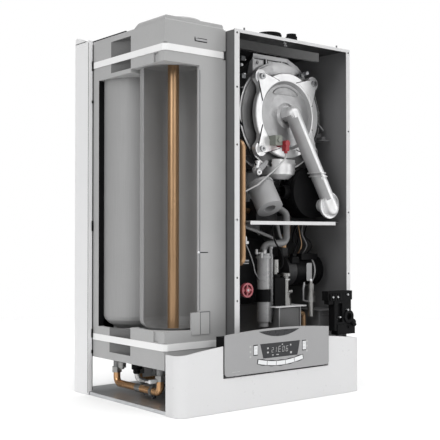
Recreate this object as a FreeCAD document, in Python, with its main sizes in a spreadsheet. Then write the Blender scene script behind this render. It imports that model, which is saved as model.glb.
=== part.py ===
import FreeCAD, Part
import math
import os
import Sketcher

# Wall-hung storage boiler, shown without its front case: two hot water tanks in grey foam on
# the left, the burner, fan, pump and plate heat exchanger in an open sheet metal frame on the
# right, and a white fascia with a hinged control panel along the bottom.
# Row frame: +Z up, front faces -Y, +X to the right seen from the front, origin at the bottom
# centre.  All lengths in millimetres.

os.makedirs("parts", exist_ok=True)
doc = FreeCAD.newDocument("boiler")
V = FreeCAD.Vector
Turn = FreeCAD.Rotation


# ---------------------------------------------------------------- sizes
class Size:
    """A length together with the spreadsheet expression that gives it."""

    def __init__(self, text, value):
        self.text = text
        self.value = float(value)

    def join(self, other, sign, value):
        return Size("(%s %s %s)" % (self.text, sign, other.text), value)

    def __add__(self, other):
        other = size(other)
        return self.join(other, "+", self.value + other.value)

    def __radd__(self, other):
        return size(other) + self

    def __sub__(self, other):
        other = size(other)
        return self.join(other, "-", self.value - other.value)

    def __rsub__(self, other):
        return size(other) - self

    def __mul__(self, other):
        other = size(other)
        return self.join(other, "*", self.value * other.value)

    def __rmul__(self, other):
        return size(other) * self

    def __truediv__(self, other):
        other = size(other)
        return self.join(other, "/", self.value / other.value)

    def __neg__(self):
        return Size("(0 - %s)" % self.text, -self.value)


def size(length):
    """A plain number as a Size."""
    if isinstance(length, Size):
        return length
    return Size("(%r)" % float(length), length)


class Dims:
    """Driving dimensions, one spreadsheet row each."""

    def __init__(self):
        self.sheet = doc.addObject("Spreadsheet::Sheet", "Dims")
        self.row = 0

    def add(self, **lengths):
        for name, length in lengths.items():
            self.row += 1
            self.sheet.set("A%d" % self.row, name)
            self.sheet.set("B%d" % self.row, str(length))
            self.sheet.setAlias("B%d" % self.row, name)
            setattr(self, name, Size("Dims." + name, length))


d = Dims()
# casing
d.add(half_width=300, half_depth=235, frame_top=911, case_top=915, sheet_gauge=1.5,
      chassis_front=165, frame_front=-190, frame_left=-100, flange_width=16, shelf_top=446,
      plate_rear=233, floor_top=8, back_bottom=96, hang_half=220, hang_low=160, hang_high=860,
      hang_radius=5)
# fascia and control panel
d.add(fascia_front=-230, fascia_rear=-177, fascia_wall=3, fascia_side=138, fascia_mid=160,
      fascia_corner=28, cover_half=171.5, cover_bottom=81.5, cover_side=178, cover_mid=186,
      cover_front=-234, cover_back=-231, notch_half=173.5, notch_bottom=77.3, tilt_y=-228,
      tilt_z=84, tilt_pin=1.2, tilt_hole=1.25, box_half=166, box_bottom=88, box_top=172,
      box_rear=-194, box_wall=2.5, row_x=4, row_z=417, row_inner=312, row_outer=322,
      key_front=-235, key_back=-226, key_fit=0.4)
# tanks
d.add(foam_left=-286, foam_right=-103, foam_front=-152.5, foam_rear=200, foam_bottom=98,
      foam_top=912, foam_split=-10, lid_top=925, cap_top=936, tank_x=-195, front_tank_y=-62,
      rear_tank_y=105, tank_radius=82, tank_wall=1.5, tank_low=205, tank_high=828,
      tank_dome=38, window_low=178, window_high=817, window_rear=138, window_right=-184,
      strap_height=16, strap_low=142, strap_high=842, strap_proud=1.5, tube_radius=14)
# burner, fan and flue
d.add(burner_x=145, burner_z=729, drum_radius=140, drum_front=-88, drum_rear=100,
      door_radius=113, dome_radius=92, bolt_pitch=188, ear_radius=19, bolt_radius=5.8,
      duct_radius=20, duct_end_radius=19, duct_wall=2, fan_x=215, fan_z=526, fan_radius=68,
      fan_front=-131, fan_rear=-73, shaft_radius=4, shaft_hole=4.05, flue_x=146, flue_y=-35,
      flue_bore=30, flue_top=960)
# hydraulics
d.add(pump_y=-80, pump_z=315, pump_radius=42, pump_left=141, pump_right=275, trap_x=49.5,
      trap_y=-120, trap_radius=18, plate_left=77, plate_right=150, plate_front=-150,
      plate_back=43, plate_bottom=146, plate_top=222, plate_pitch=3.5, plate_gauge=1.5,
      tail_y=20, tail_radius=10.5, tail_bore=7.5, knob_x=-45, knob_z=275, vessel_radius=138,
      vessel_x=150, vessel_z=292)
doc.recompute()

FINISHED = []
TURN = {"X": Turn(V(0, 1, 0), 90), "Y": Turn(V(1, 0, 0), -90), "Z": Turn(),
        "front": Turn(V(1, 0, 0), 90)}
count = 0


def fresh(word):
    """A new internal name for a building piece."""
    global count
    count += 1
    return "%s_%03d" % (word, count)


def bind(obj, path, length):
    obj.setExpression(path, size(length).text)


def place(obj, at, turn=None):
    if turn is not None:
        obj.Placement = FreeCAD.Placement(V(), turn)
    for axis, length in zip("xyz", at):
        bind(obj, "Placement.Base." + axis, length)
    return obj


def finish(name, obj):
    """Give the finished piece its name in the library."""
    obj.Label = name
    FINISHED.append((name, obj))
    return obj


# ---------------------------------------------------------------- building pieces
def block(x, y, z):
    """Box between two limits on each axis."""
    box = doc.addObject("Part::Box", fresh("block"))
    for side, axis, (low, high) in (("Length", "x", x), ("Width", "y", y), ("Height", "z", z)):
        bind(box, side, high - low)
        bind(box, "Placement.Base." + axis, low)
    return box


def rod(axis, at, radius, length, angle=None, start=0.0):
    """Cylinder, or a sector of one, from a point along an axis."""
    cylinder = doc.addObject("Part::Cylinder", fresh("rod"))
    turn = TURN[axis] if isinstance(axis, str) else axis
    place(cylinder, at, turn.multiply(Turn(V(0, 0, 1), start)))
    bind(cylinder, "Radius", radius)
    bind(cylinder, "Height", length)
    if angle is not None:
        bind(cylinder, "Angle", angle)
    return cylinder


def cone(axis, at, radius, end_radius, length):
    shape = doc.addObject("Part::Cone", fresh("cone"))
    place(shape, at, TURN[axis] if isinstance(axis, str) else axis)
    bind(shape, "Radius1", radius)
    bind(shape, "Radius2", end_radius)
    bind(shape, "Height", length)
    return shape


def ball(at, radius):
    shape = doc.addObject("Part::Sphere", fresh("ball"))
    place(shape, at)
    bind(shape, "Radius", radius)
    return shape


def fuse(*shapes):
    if len(shapes) == 1:
        return shapes[0]
    union = doc.addObject("Part::MultiFuse", fresh("union"))
    union.Shapes = list(shapes)
    union.Refine = True
    return union


def cut(base, *tools):
    result = doc.addObject("Part::Cut", fresh("cut"))
    result.Base = base
    result.Tool = fuse(*tools)
    result.Refine = True
    return result


def common(base, tool):
    result = doc.addObject("Part::Common", fresh("common"))
    result.Base = base
    result.Tool = tool
    return result


def together(*shapes):
    """Several separate solids in one node."""
    result = doc.addObject("Part::Compound", fresh("group"))
    result.Links = list(shapes)
    return result


def ring(axis, at, radius, bore, length):
    return cut(rod(axis, at, radius, length), rod(axis, at, bore, length))


def draw(body, plane, loops, offset):
    """Sketch on one of the body's own planes; every corner is placed by expressions."""
    sketch = body.newObject("Sketcher::SketchObject", fresh("sketch"))
    datum = [f for f in body.Origin.OriginFeatures if f.Role == plane + "_Plane"][0]
    sketch.AttachmentSupport = [(datum, "")]
    sketch.MapMode = "FlatFace"
    bind(sketch, "AttachmentOffset.Base.z", offset)

    def hold(kind, geometry, point, length):
        length = size(length)
        index = sketch.addConstraint(
            Sketcher.Constraint(kind, -1, 1, geometry, point, length.value))
        sketch.setExpression("Constraints[%d]" % index, length.text)

    for loop in loops:
        if loop[0] == "circle":
            u, v, radius = (size(part) for part in loop[1:])
            circle = sketch.addGeometry(Part.Circle(V(u.value, v.value, 0), V(0, 0, 1),
                                                    radius.value))
            index = sketch.addConstraint(Sketcher.Constraint("Radius", circle, radius.value))
            sketch.setExpression("Constraints[%d]" % index, radius.text)
            hold("DistanceX", circle, 3, u)
            hold("DistanceY", circle, 3, v)
            continue
        corners = [(size(u), size(v)) for u, v in loop]
        lines = []
        for here, there in zip(corners, corners[1:] + corners[:1]):
            start = V(here[0].value, here[1].value, 0)
            end = V(there[0].value, there[1].value, 0)
            lines.append(sketch.addGeometry(Part.LineSegment(start, end)))
        for line, following in zip(lines, lines[1:] + lines[:1]):
            sketch.addConstraint(Sketcher.Constraint("Coincident", line, 2, following, 1))
        for line, (u, v) in zip(lines, corners):
            hold("DistanceX", line, 1, u)
            hold("DistanceY", line, 1, v)
    return sketch


def plate(plane, loops, low, high):
    """Flat piece cut to a sketched outline, between two limits across the plane."""
    body = doc.addObject("PartDesign::Body", fresh("body"))
    offset = -size(high) if plane == "XZ" else size(low)
    sketch = draw(body, plane, loops, offset)
    pad = body.newObject("PartDesign::Pad", fresh("pad"))
    pad.Profile = sketch
    bind(pad, "Length", size(high) - low)
    body.Tip = pad
    sketch.Visibility = False
    doc.recompute()
    return body


def turned(axis, at, profile):
    """Turned piece: a (radius, distance along the axis) outline spun about the axis."""
    body = doc.addObject("PartDesign::Body", fresh("body"))
    sketch = draw(body, "XZ", [profile], 0)
    spin = body.newObject("PartDesign::Revolution", fresh("spin"))
    spin.Profile = sketch
    spin.ReferenceAxis = (sketch, ["V_Axis"])
    spin.Angle = 360
    body.Tip = spin
    sketch.Visibility = False
    place(body, at, TURN[axis])
    doc.recompute()
    return body


def round_edges(body, radius, wanted):
    """Round the body's edges that the test picks out."""
    doc.recompute()
    edges = body.Tip.Shape.Edges
    names = ["Edge%d" % (i + 1) for i, edge in enumerate(edges) if wanted(edge)]
    feature = body.newObject("PartDesign::Fillet", fresh("round"))
    feature.Base = (body.Group[-2], names)
    bind(feature, "Radius", radius)
    body.Tip = feature
    doc.recompute()
    return body


def along(edge, axis):
    """True for a straight edge along an axis."""
    ends = [vertex.Point for vertex in edge.Vertexes]
    if len(ends) < 2 or not isinstance(edge.Curve, Part.Line):
        return False
    step = (ends[1] - ends[0]).normalize()
    return abs(abs(step.dot(axis)) - 1) < 1e-6


def bent(points, radius, bend, bore=0):
    """Round pipe through the points with a bend at each inner one."""
    points = [V(*[size(part).value for part in point]) for point in points]
    edges = []
    start = points[0]
    for here, corner, there in zip(points, points[1:], points[2:]):
        back = (here - corner).normalize()
        ahead = (there - corner).normalize()
        half = math.acos(max(-1, min(1, back.dot(ahead)))) / 2
        reach = bend / math.tan(half)
        first = corner + back * reach
        last = corner + ahead * reach
        middle = (back + ahead).normalize()
        centre = corner + middle * (bend / math.sin(half))
        edges.append(Part.makeLine(start, first))
        edges.append(Part.Arc(first, centre - middle * bend, last).toShape())
        start = last
    edges.append(Part.makeLine(start, points[-1]))
    path = Part.Wire(edges)
    heading = (points[1] - points[0]).normalize()

    def sweep(r):
        circle = Part.Wire(Part.makeCircle(r, points[0], heading))
        return path.makePipeShell([circle], True, True)

    shape = sweep(radius)
    if bore:
        shape = shape.cut(sweep(bore))
    pipe = doc.addObject("Part::Feature", fresh("pipe"))
    pipe.Shape = shape
    return pipe


def aim(start, end):
    """Rotation that lays a cylinder from one point towards another, and the distance."""
    way = V(*end) - V(*start)
    return Turn(V(0, 0, 1), way), way.Length


# ---------------------------------------------------------------- casing
gauge = d.sheet_gauge
hang_holes = [("circle", side * d.hang_half, height, d.hang_radius)
              for side in (-1, 1) for height in (d.hang_low, d.hang_high)]
inner = d.half_width - 1.6
back = plate("XZ", [[(-inner, d.back_bottom), (-96, d.back_bottom), (-96, d.floor_top + 1),
                     (inner, d.floor_top + 1), (inner, d.case_top - 3),
                     (-inner, d.case_top - 3)]] + hang_holes, d.plate_rear, d.half_depth)
finish("back_plate", back)

for side, name in ((-1, "side_panel_left"), (1, "side_panel_right")):
    wall = side * d.half_width
    skin = side * (d.half_width - gauge)
    lip = side * (d.half_width - 11)
    outline = [(wall, d.half_depth), (wall, d.chassis_front), (lip, d.chassis_front),
               (lip, d.chassis_front + gauge), (skin, d.chassis_front + gauge),
               (skin, d.plate_rear - gauge - 0.1), (lip, d.plate_rear - gauge - 0.1),
               (lip, d.plate_rear - 0.1), (skin, d.plate_rear - 0.1), (skin, d.half_depth)]
    foot_gap = block(tuple(sorted((side * 297.5, side * 288))), (164, 167.5), (-1, 8.4))
    finish(name, cut(plate("XY", [outline], 0, d.case_top), foot_gap))

# left frame panel: wall, front flange with five screw holes, pipe passage near the floor
front = d.frame_front
left = d.frame_left
outline = [(left - 6, front), (left + 10, front), (left + 10, front + gauge),
           (left + gauge, front + gauge), (left + gauge, d.chassis_front - gauge - 0.2),
           (left + 11, d.chassis_front - gauge - 0.2), (left + 11, d.chassis_front - 0.2),
           (left, d.chassis_front - 0.2), (left, front + gauge), (left - 6, front + gauge)]
panel = plate("XY", [outline], d.floor_top, d.frame_top)
holes = [rod("Y", (left + 2.4, front - 1, height), 2.6, 6)
         for height in (252, 308, 448, 630, 770, 902)]
passage = block((left - 5, left + 5), (-130, 150), (d.floor_top + 6, 92))
finish("frame_left_panel", cut(panel, passage, *holes))

right = d.half_width
outline = [(right - 14, front), (right, front), (right, d.chassis_front - 0.2),
           (right - 11, d.chassis_front - 0.2), (right - 11, d.chassis_front - gauge - 0.2),
           (right - gauge, d.chassis_front - gauge - 0.2), (right - gauge, front + gauge),
           (right - 14, front + gauge)]
panel = plate("XY", [outline], d.floor_top, d.frame_top)
corner = block((right - 20, right + 1), (front - 1, d.fascia_rear + 1), (0, d.fascia_side + 12))
holes = [rod("Y", (right - 6, front - 1, height), 2.6, 6) for height in (308, 472, 690, 902)]
finish("frame_right_panel", cut(panel, corner, *holes))

top = block((left + gauge + 0.1, right - gauge - 0.1), (front, d.chassis_front - 2),
            (d.frame_top - gauge, d.frame_top))
lip = block((left + 10.2, right - 14.2), (front, front + gauge), (d.frame_top - 8, d.frame_top))
corners = fuse(block((left, left + 10.1), (front - 1, front + gauge + 0.1), (900, 920)),
               block((right - 14.1, right), (front - 1, front + gauge + 0.1), (900, 920)))
flue_hole = rod("Z", (d.flue_x, d.flue_y, d.frame_top - 5), d.flue_bore + 4, 10)
pins = [rod("Z", (x, front + 6, d.frame_top), 2.2, 7) for x in (-70, 255)]
finish("frame_top_panel", fuse(cut(top, corners, flue_hole), lip, *pins))

bar = [(left + gauge + 0.1, 866), (186, 866), (186, 888), (left + gauge + 0.1, 888)]
face = plate("XZ", [bar], front + 4, front + 4 + gauge)
lips = [block((left + gauge + 0.1, 186), (front + 4, front + 16), (z, z + gauge))
        for z in (866, 888 - gauge)]
finish("crossbar", fuse(face, *lips))

shelf = plate("XY", [[(left + 2, 158), (left + 2, -116), (-53, -116), (-53, front + 4),
                      (246, front + 4), (246, -150), (right - 2, -150), (right - 2, 158)],
                     ("circle", 131, -120, 14), ("circle", 200, -50, 14),
                     ("circle", 0, -40, 12)],
              d.shelf_top - gauge, d.shelf_top)
lip = block((-53, 246), (front + 2.5, front + 4), (d.shelf_top - 9, d.shelf_top))
finish("chamber_shelf", fuse(shelf, lip))

floor_half = d.half_width - 3.5


def floor_outline(inset):
    half = floor_half - inset
    rear = d.plate_rear - 2 - inset
    return [(-half, rear), (-half, -199), (-half + 9, -218 + inset), (-269, -226.4 + inset),
            (269, -226.4 + inset), (half - 9, -218 + inset), (half, -199), (half, rear)]


floor = plate("XY", [floor_outline(0)], 0, d.floor_top)
below = plate("XY", [floor_outline(gauge)], -1, d.floor_top - gauge)
tails_x = (-60, 0, 60, 120, 180)
outlets = [rod("Z", (x, d.tail_y, -2), d.tail_radius + 3, 20) for x in tails_x]
outlets.append(rod("Z", (-30, -120, -2), 9, 20))
finish("bottom_plate", cut(floor, below, *outlets))

# ---------------------------------------------------------------- fascia
body = plate("XY", [[(-d.half_width, d.fascia_front), (d.half_width, d.fascia_front),
                     (d.half_width, d.fascia_rear), (-d.half_width, d.fascia_rear)]],
             0, d.fascia_mid)
round_edges(body, d.fascia_corner,
            lambda e: along(e, V(0, 0, 1)) and e.CenterOfMass.y < -200)
wall = d.fascia_wall
hollow = plate("XY", [[(-d.half_width + wall, d.fascia_front + wall),
                       (d.half_width - wall, d.fascia_front + wall),
                       (d.half_width - wall, d.fascia_rear + 5),
                       (-d.half_width + wall, d.fascia_rear + 5)]], -1, d.fascia_mid + 1)
round_edges(hollow, d.fascia_corner - wall,
            lambda e: along(e, V(0, 0, 1)) and e.CenterOfMass.y < -200)
rise = d.fascia_mid - d.fascia_side
arch = (d.half_width * d.half_width + rise * rise) / (2 * rise)
bow = rod("Y", (0, d.fascia_front - 5, d.fascia_mid - arch), arch, 80)
notch = block((-d.notch_half, d.notch_half), (d.fascia_front - 5, d.fascia_front + 5),
              (d.notch_bottom, 200))
shell = common(cut(body, hollow, notch), bow)
ears = [block((min(side * 173.5, side * 179), max(side * 173.5, side * 179)),
              (d.fascia_front + wall - 0.5, d.fascia_front + 7), (78.5, 90))
        for side in (-1, 1)]
pivots = rod("X", (-180.5, d.tilt_y, d.tilt_z), d.tilt_hole, 361)
finish("fascia", cut(fuse(shell, *ears), pivots))

slab = [block((190, 281), (-214, -192), (240, 264)), block((216, 279), (-212, -191), (160, 241)),
        block((226, 292), (-214, -191), (150, 176)), rod("Y", (268, -216, 196), 17, 22),
        block((196, 214), (-210, -194), (230, 242))]
finish("cable_block", cut(fuse(*slab), block((228, 246), (-216, -204), (182, 232)),
                          rod("Y", (268, -218, 196), 9, 12)))

# ---------------------------------------------------------------- control panel
half = d.cover_half
rise = d.cover_mid - d.cover_side
arch = (half * half + rise * rise) / (2 * rise)
body = plate("XZ", [[(-half, d.cover_bottom), (half, d.cover_bottom), (half, 200),
                     (-half, 200)]], d.cover_front, d.cover_back)
round_edges(body, 9, lambda e: along(e, V(0, 1, 0)) and e.CenterOfMass.z < 100)
bow = rod("Y", (0, d.cover_front - 5, d.cover_mid - arch), arch, 20)
cover = common(body, bow)
screen_out = [(-63, 150), (69, 150), (61, 114.5), (-53, 114.5)]
screen_cut = plate("XZ", [screen_out], d.cover_front - 1, d.cover_back + 1)


def key_sector(inner_radius, outer_radius, y, length, middle, spread):
    """Slice of a ring about the key row's centre, the middle angle measured from below."""
    start = 90 - middle - spread / 2
    outer = rod("Y", (d.row_x, y, d.row_z), outer_radius, length, spread, start)
    inner_rod = rod("Y", (d.row_x, y, d.row_z), inner_radius, length)
    return cut(outer, inner_rod)


row_cut = key_sector(d.row_inner - d.key_fit, d.row_outer + d.key_fit, d.cover_front - 1, 6,
                     0, 27.6)
side_keys = {"button_left": (-83, -72), "button_right": (78, 89)}
side_cuts = [block((x[0] - d.key_fit, x[1] + d.key_fit), (d.cover_front - 1, d.cover_back + 1),
                   (126 - d.key_fit, 147 + d.key_fit)) for x in side_keys.values()]


def badge_shape(y, length, shrink):
    under = rod("Y", (0, y, 165 + 162.6), 162.6 - shrink, length)
    over = rod("Y", (0, y, 181 - 1800), 1800 - shrink, length)
    return common(under, over)


badge_cut = badge_shape(d.cover_front - 1, 2, 0)
finish("control_cover", cut(cover, screen_cut, row_cut, badge_cut, *side_cuts))
finish("badge_plate", badge_shape(d.cover_front + 0.1, 0.9, 0.25))

screen = plate("XZ", [[(-62.8, 149.8), (68.8, 149.8), (60.8, 114.7), (-52.8, 114.7)]],
               d.cover_front + 0.6, d.cover_back + 0.1)
frame = plate("XZ", [[(-66, 153), (72, 153), (63.5, 113.2), (-55.5, 113.2)]],
              d.cover_back + 0.1, d.cover_back + 1.6)
finish("display_window", fuse(screen, frame))

for number in range(5):
    middle = (number - 2) * 5.44
    cap = key_sector(d.row_inner, d.row_outer, d.key_front, d.key_back - d.key_front,
                     middle, 5.15)
    heel = key_sector(d.row_inner - 1.5, d.row_outer + 1.5, d.cover_back + 1, 1.4, middle, 5.15)
    finish("button_%d" % (number + 1), fuse(cap, heel))
for name, x in side_keys.items():
    cap = block(x, (d.key_front, d.key_back), (126, 147))
    heel = block((x[0] - 1.5, x[1] + 1.5), (d.cover_back + 1, d.cover_back + 2.4), (124.5, 148.5))
    finish(name, fuse(cap, heel))

outer = block((-d.box_half, d.box_half), (d.cover_back + 0.1, d.box_rear),
              (d.box_bottom, d.box_top))
cavity = block((-d.box_half + d.box_wall, d.box_half - d.box_wall),
               (d.cover_back - 1, d.box_rear - d.box_wall),
               (d.box_bottom + d.box_wall, d.box_top - d.box_wall))
arms = []
for side in (-1, 1):
    low, high = sorted((side * 161.0, side * 166.0))
    arms.append(block((low, high), (d.cover_back + 0.2, d.tilt_y + 3), (d.tilt_z - 1.6, 92)))
    start = 165 if side > 0 else -177
    arms.append(rod("X", (start, d.tilt_y, d.tilt_z), d.tilt_pin, 12))
posts = [rod("Y", (x, -220.2, z), 3, 24.5) for x in (-140, 140) for z in (99, 161)]
finish("control_box", fuse(cut(outer, cavity), *(arms + posts)))

board = block((-150, 150), (-222, -220.4), (94, 166))
taps = []
for number in range(5):
    angle = math.radians((number - 2) * 5.44)
    taps.append((4 + 317 * math.sin(angle), 417 - 317 * math.cos(angle)))
taps += [(sum(x) / 2.0, 136.5) for x in side_keys.values()]
items = [rod("Y", (x, -224.8, z), 1.8, 3) for x, z in taps]
items.append(block((-58, 64), (-229.2, -221.9), (113, 151)))
items += [block((-120, -85), (-220.5, -202), (100, 140)), block((80, 110), (-220.5, -204), (110, 150)),
          block((-60, 40), (-220.5, -214), (98, 108))]
items += [rod("Y", (x, -220.5, 150), 6, 14) for x in (-40, -20, 0, 30)]
finish("control_board", fuse(board, *items))

# ---------------------------------------------------------------- tanks
axes = ((d.tank_x, d.front_tank_y), (d.tank_x, d.rear_tank_y))
stubs = {"front": [(-230, -57)], "rear": [(-230, 138), (-195, 86)]}


def foam(y_low, y_high):
    """Foam half shell with the tank spaces and the pipe passages cut out."""
    shell = block((d.foam_left, d.foam_right), (y_low, y_high), (d.foam_bottom, d.foam_top))
    spaces = [rod("Z", (x, y, d.tank_low - d.tank_dome - 4), d.tank_radius + 0.5,
                  d.tank_high - d.tank_low + 2 * d.tank_dome + 8) for x, y in axes]
    passages = [rod("Z", (x, y, d.foam_bottom - 5), 12, 90) for x, y in
                stubs["front"] + stubs["rear"]]
    return shell, spaces + passages


shell, spaces = foam(d.foam_split, d.foam_rear)
window = block((d.foam_left - 5, d.window_right), (d.foam_split - 5, d.window_rear),
               (d.window_low, d.window_high - 9))


def corner_cuts(y, into):
    """Small bevels that seat the straps at two corners of a foam half."""
    bevels = []
    for low in (d.strap_low, d.strap_high):
        for x, side in ((d.foam_left, 1), (d.foam_right, -1)):
            corner = [(x - side, y - into), (x + side * 9.3, y - into), (x - side, y + into * 9.3)]
            bevels.append(plate("XY", [corner], low - 3, low + d.strap_height + 3))
    return bevels


def niche(low, high, run):
    """Wedge hollow in the left face, deepest beside the foam's joint."""
    return plate("XY", [[(d.foam_left - 1, d.foam_split - 1), (d.foam_left + 22, d.foam_split - 1),
                         (d.foam_left, d.foam_split + run), (d.foam_left - 1, d.foam_split + run)]],
                 low, high)


drain = rod("Z", (-230, 114, d.foam_bottom - 2), 8.5, 16)
finish("tank_insulation_rear", cut(shell, window, niche(819, 898, 90), niche(117, 181, 95),
                                   drain, *(spaces + corner_cuts(d.foam_rear, -1))))

shell, spaces = foam(d.foam_front, d.foam_split - 0.2)
window = block((d.foam_left - 5, d.window_right), (d.foam_front - 5, d.foam_split + 5),
               (d.window_low + 8, d.window_high))
lid = plate("YZ", [[(d.foam_front, d.foam_top - 1), (d.foam_front, d.foam_top + 2),
                    (d.foam_front + 3, d.foam_top + 5), (d.foam_front + 3.5, d.lid_top),
                    (-44, d.lid_top), (-22, d.foam_top + 1), (-22, d.foam_top - 1)]],
            d.foam_left + 2, d.foam_right - 6)
round_edges(lid, 5, lambda e: along(e, V(0, 1, 0)) and e.CenterOfMass.z > 920)
cap = turned("Z", (-198, -84, 0), [(0, d.foam_top), (60, d.foam_top), (60, 928), (56, 932),
                                   (44, 935), (20, d.cap_top), (0, d.cap_top)])
latch = block((-208, -155), (d.foam_front - 3, d.foam_front + 4), (175, 227))
latch_joint = block((-184, -182.4), (d.foam_front - 4, d.foam_front - 1), (170, 230))
slot = fuse(block((-196, -161), (d.foam_front - 1, d.foam_front + 3), (875.5, 881.5)),
            rod("Y", (-196, d.foam_front - 1, 878.5), 3, 4))
tick = block((-193, -157), (d.foam_front - 1, d.foam_front + 1.5), (368.4, 370.6))
notches = [block((d.foam_left - 1, d.foam_left + 5), (-128, -108), z)
           for z in ((818, 840), (160, 187))]
halves = cut(fuse(shell, lid, cap), window, slot, tick, *(notches + spaces + corner_cuts(d.foam_front, 1)))
finish("tank_insulation_front", fuse(halves, cut(latch, latch_joint)))


def band_outline(out, corner):
    """Outline round both foam halves with chamfered corners."""
    x0 = d.foam_left - out
    x1 = d.foam_right + out
    y0 = d.foam_front - out
    y1 = d.foam_rear + out
    return [(x0 + corner, y0), (x1 - corner, y0), (x1, y0 + corner), (x1, y1 - corner),
            (x1 - corner, y1), (x0 + corner, y1), (x0, y1 - corner), (x0, y0 + corner)]


bands = []
for low in (d.strap_low, d.strap_high):
    band = plate("XY", [band_outline(d.strap_proud, 9)], low, low + d.strap_height)
    core = plate("XY", [band_outline(0.05, 8.2)], low - 1, low + d.strap_height + 1)
    bands.append(cut(band, core))
finish("insulation_straps", together(*bands))


def tank(x, y, sockets):
    """Thin domed vessel with sockets welded into its lower end."""
    r = d.tank_radius
    w = d.tank_wall
    low = d.tank_low
    high = d.tank_high
    dome = d.tank_dome
    steps = [(0.0, 1.0), (0.34, 0.94), (0.63, 0.76), (0.85, 0.5), (0.96, 0.24), (1.0, 0.0)]
    outside = [(f * r, low - g * dome) for f, g in steps]
    outside += [(f * r, high + g * dome) for f, g in reversed(steps)]
    inside = [(f * (r - w), high + g * (dome - w)) for f, g in steps]
    inside += [(f * (r - w), low - g * (dome - w)) for f, g in reversed(steps)]
    half_shell = outside + inside
    vessel = turned("Z", (x, y, 0), half_shell)
    pipes = [rod("Z", (sx, sy, 66), 9, 118) for sx, sy in sockets]
    bores = [rod("Z", (sx, sy, 65), 7, 121) for sx, sy in sockets]
    return cut(fuse(vessel, *pipes), *bores)


finish("tank_rear", tank(d.tank_x, d.rear_tank_y, stubs["rear"]))
whole = tank(d.tank_x, d.front_tank_y, stubs["front"])
opening = rod("Z", (d.tank_x, d.front_tank_y, d.window_low + 12), d.tank_radius + 8,
              d.window_high - d.window_low - 14, 107, 172)
core = rod("Z", (d.tank_x, d.front_tank_y, d.window_low), 40,
           d.window_high - d.window_low)
finish("tank_front", cut(whole, cut(opening, core)))

draw_tube = ring("Z", (d.tank_x, d.front_tank_y, 176), d.tube_radius, d.tube_radius - 1.2, 668)
finish("draw_off_tube", draw_tube)


def nut(x, y, low, high, across, bore):
    """Hexagon union nut."""
    r = across / math.sqrt(3)
    corners = [(x + r * math.cos(math.radians(60 * i)), y + r * math.sin(math.radians(60 * i)))
               for i in range(6)]
    return plate("XY", [corners, ("circle", x, y, bore)], low, high)


unions = [nut(x, y, 56, 70, 24, 9.05) for x, y in stubs["front"] + stubs["rear"]]
unions.append(fuse(rod("Z", (-230, 114, 78), 8, 32), rod("Z", (-230, 114, 70), 10.5, 14),
                   rod("Z", (-230, 114, 66), 6, 5)))
finish("tank_unions", together(*unions))

link = bent([(-230, 138, 65), (-230, 138, 28), (-230, -57, 28), (-230, -57, 65)], 9, 16, 7.5)
feed = bent([(-195, 86, 65), (-195, 86, 36), (-40, 86, 36), (-40, 86, 78), (-40, 0.2, 78)],
            8, 12, 6.8)
finish("tank_link_pipe", together(link, feed))

# ---------------------------------------------------------------- burner and exchanger
bx = d.burner_x
bz = d.burner_z
depth = d.drum_rear - d.drum_front
shell = rod("Y", (bx, d.drum_front, bz), d.drum_radius, depth)
crown = plate("XZ", [[(50, 740), (50, 884), (168, 884), (204, 868), (232, 842), (248, 812),
                      (248, 740)]], -78, 44)
lip = plate("XZ", [[(47, 877), (47, 887), (170, 887), (208, 870), (236, 844), (228, 838),
                    (202, 862), (167, 877)]], -83, 44)
bosses = [rod("Y", (bx + i * d.bolt_pitch / 2, -95.9, bz + k * d.bolt_pitch / 2), 15, 72)
          for i in (-1, 1) for k in (-1, 1)]
ribs = [block((x, x + 4), (-81, 46), (840, z)) for x, z in ((94, 887), (150, 887), (196, 868))]
hoops = [ring("Y", (bx, y, bz), d.drum_radius + 5, d.drum_radius - 2, 5)
         for y in (-84, -30, 24, 78)]
inner_space = rod("Y", (bx, d.drum_front + 8, bz), d.drum_radius - 14, depth - 16)
attic = block((56, 200), (-70, 36), (780, 862))
mouth = rod("Y", (bx, -95, bz), 78, 30)
flue_seat = fuse(rod("Z", (d.flue_x, d.flue_y, 840), d.flue_bore - 3, 60),
                 rod("Z", (d.flue_x, d.flue_y, 884), d.flue_bore + 3.3, 12))
finish("exchanger_drum", cut(fuse(shell, crown, lip, *(bosses + ribs + hoops)), inner_space,
                             attic, mouth, flue_seat))

rings = []
for number in range(7):
    loop = doc.addObject("Part::Torus", fresh("torus"))
    place(loop, (bx, -56 + number * 22, bz), TURN["Y"])
    bind(loop, "Radius1", 96)
    bind(loop, "Radius2", 9)
    rings.append(loop)
finish("heat_coil", together(*rings))

finish("burner_head", turned("Y", (bx, 0, bz), [(30, -95.8), (44, -95.8), (44, -91), (34, -91),
                                                (34, 60), (0, 60), (0, 57), (30, 57)]))

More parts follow.
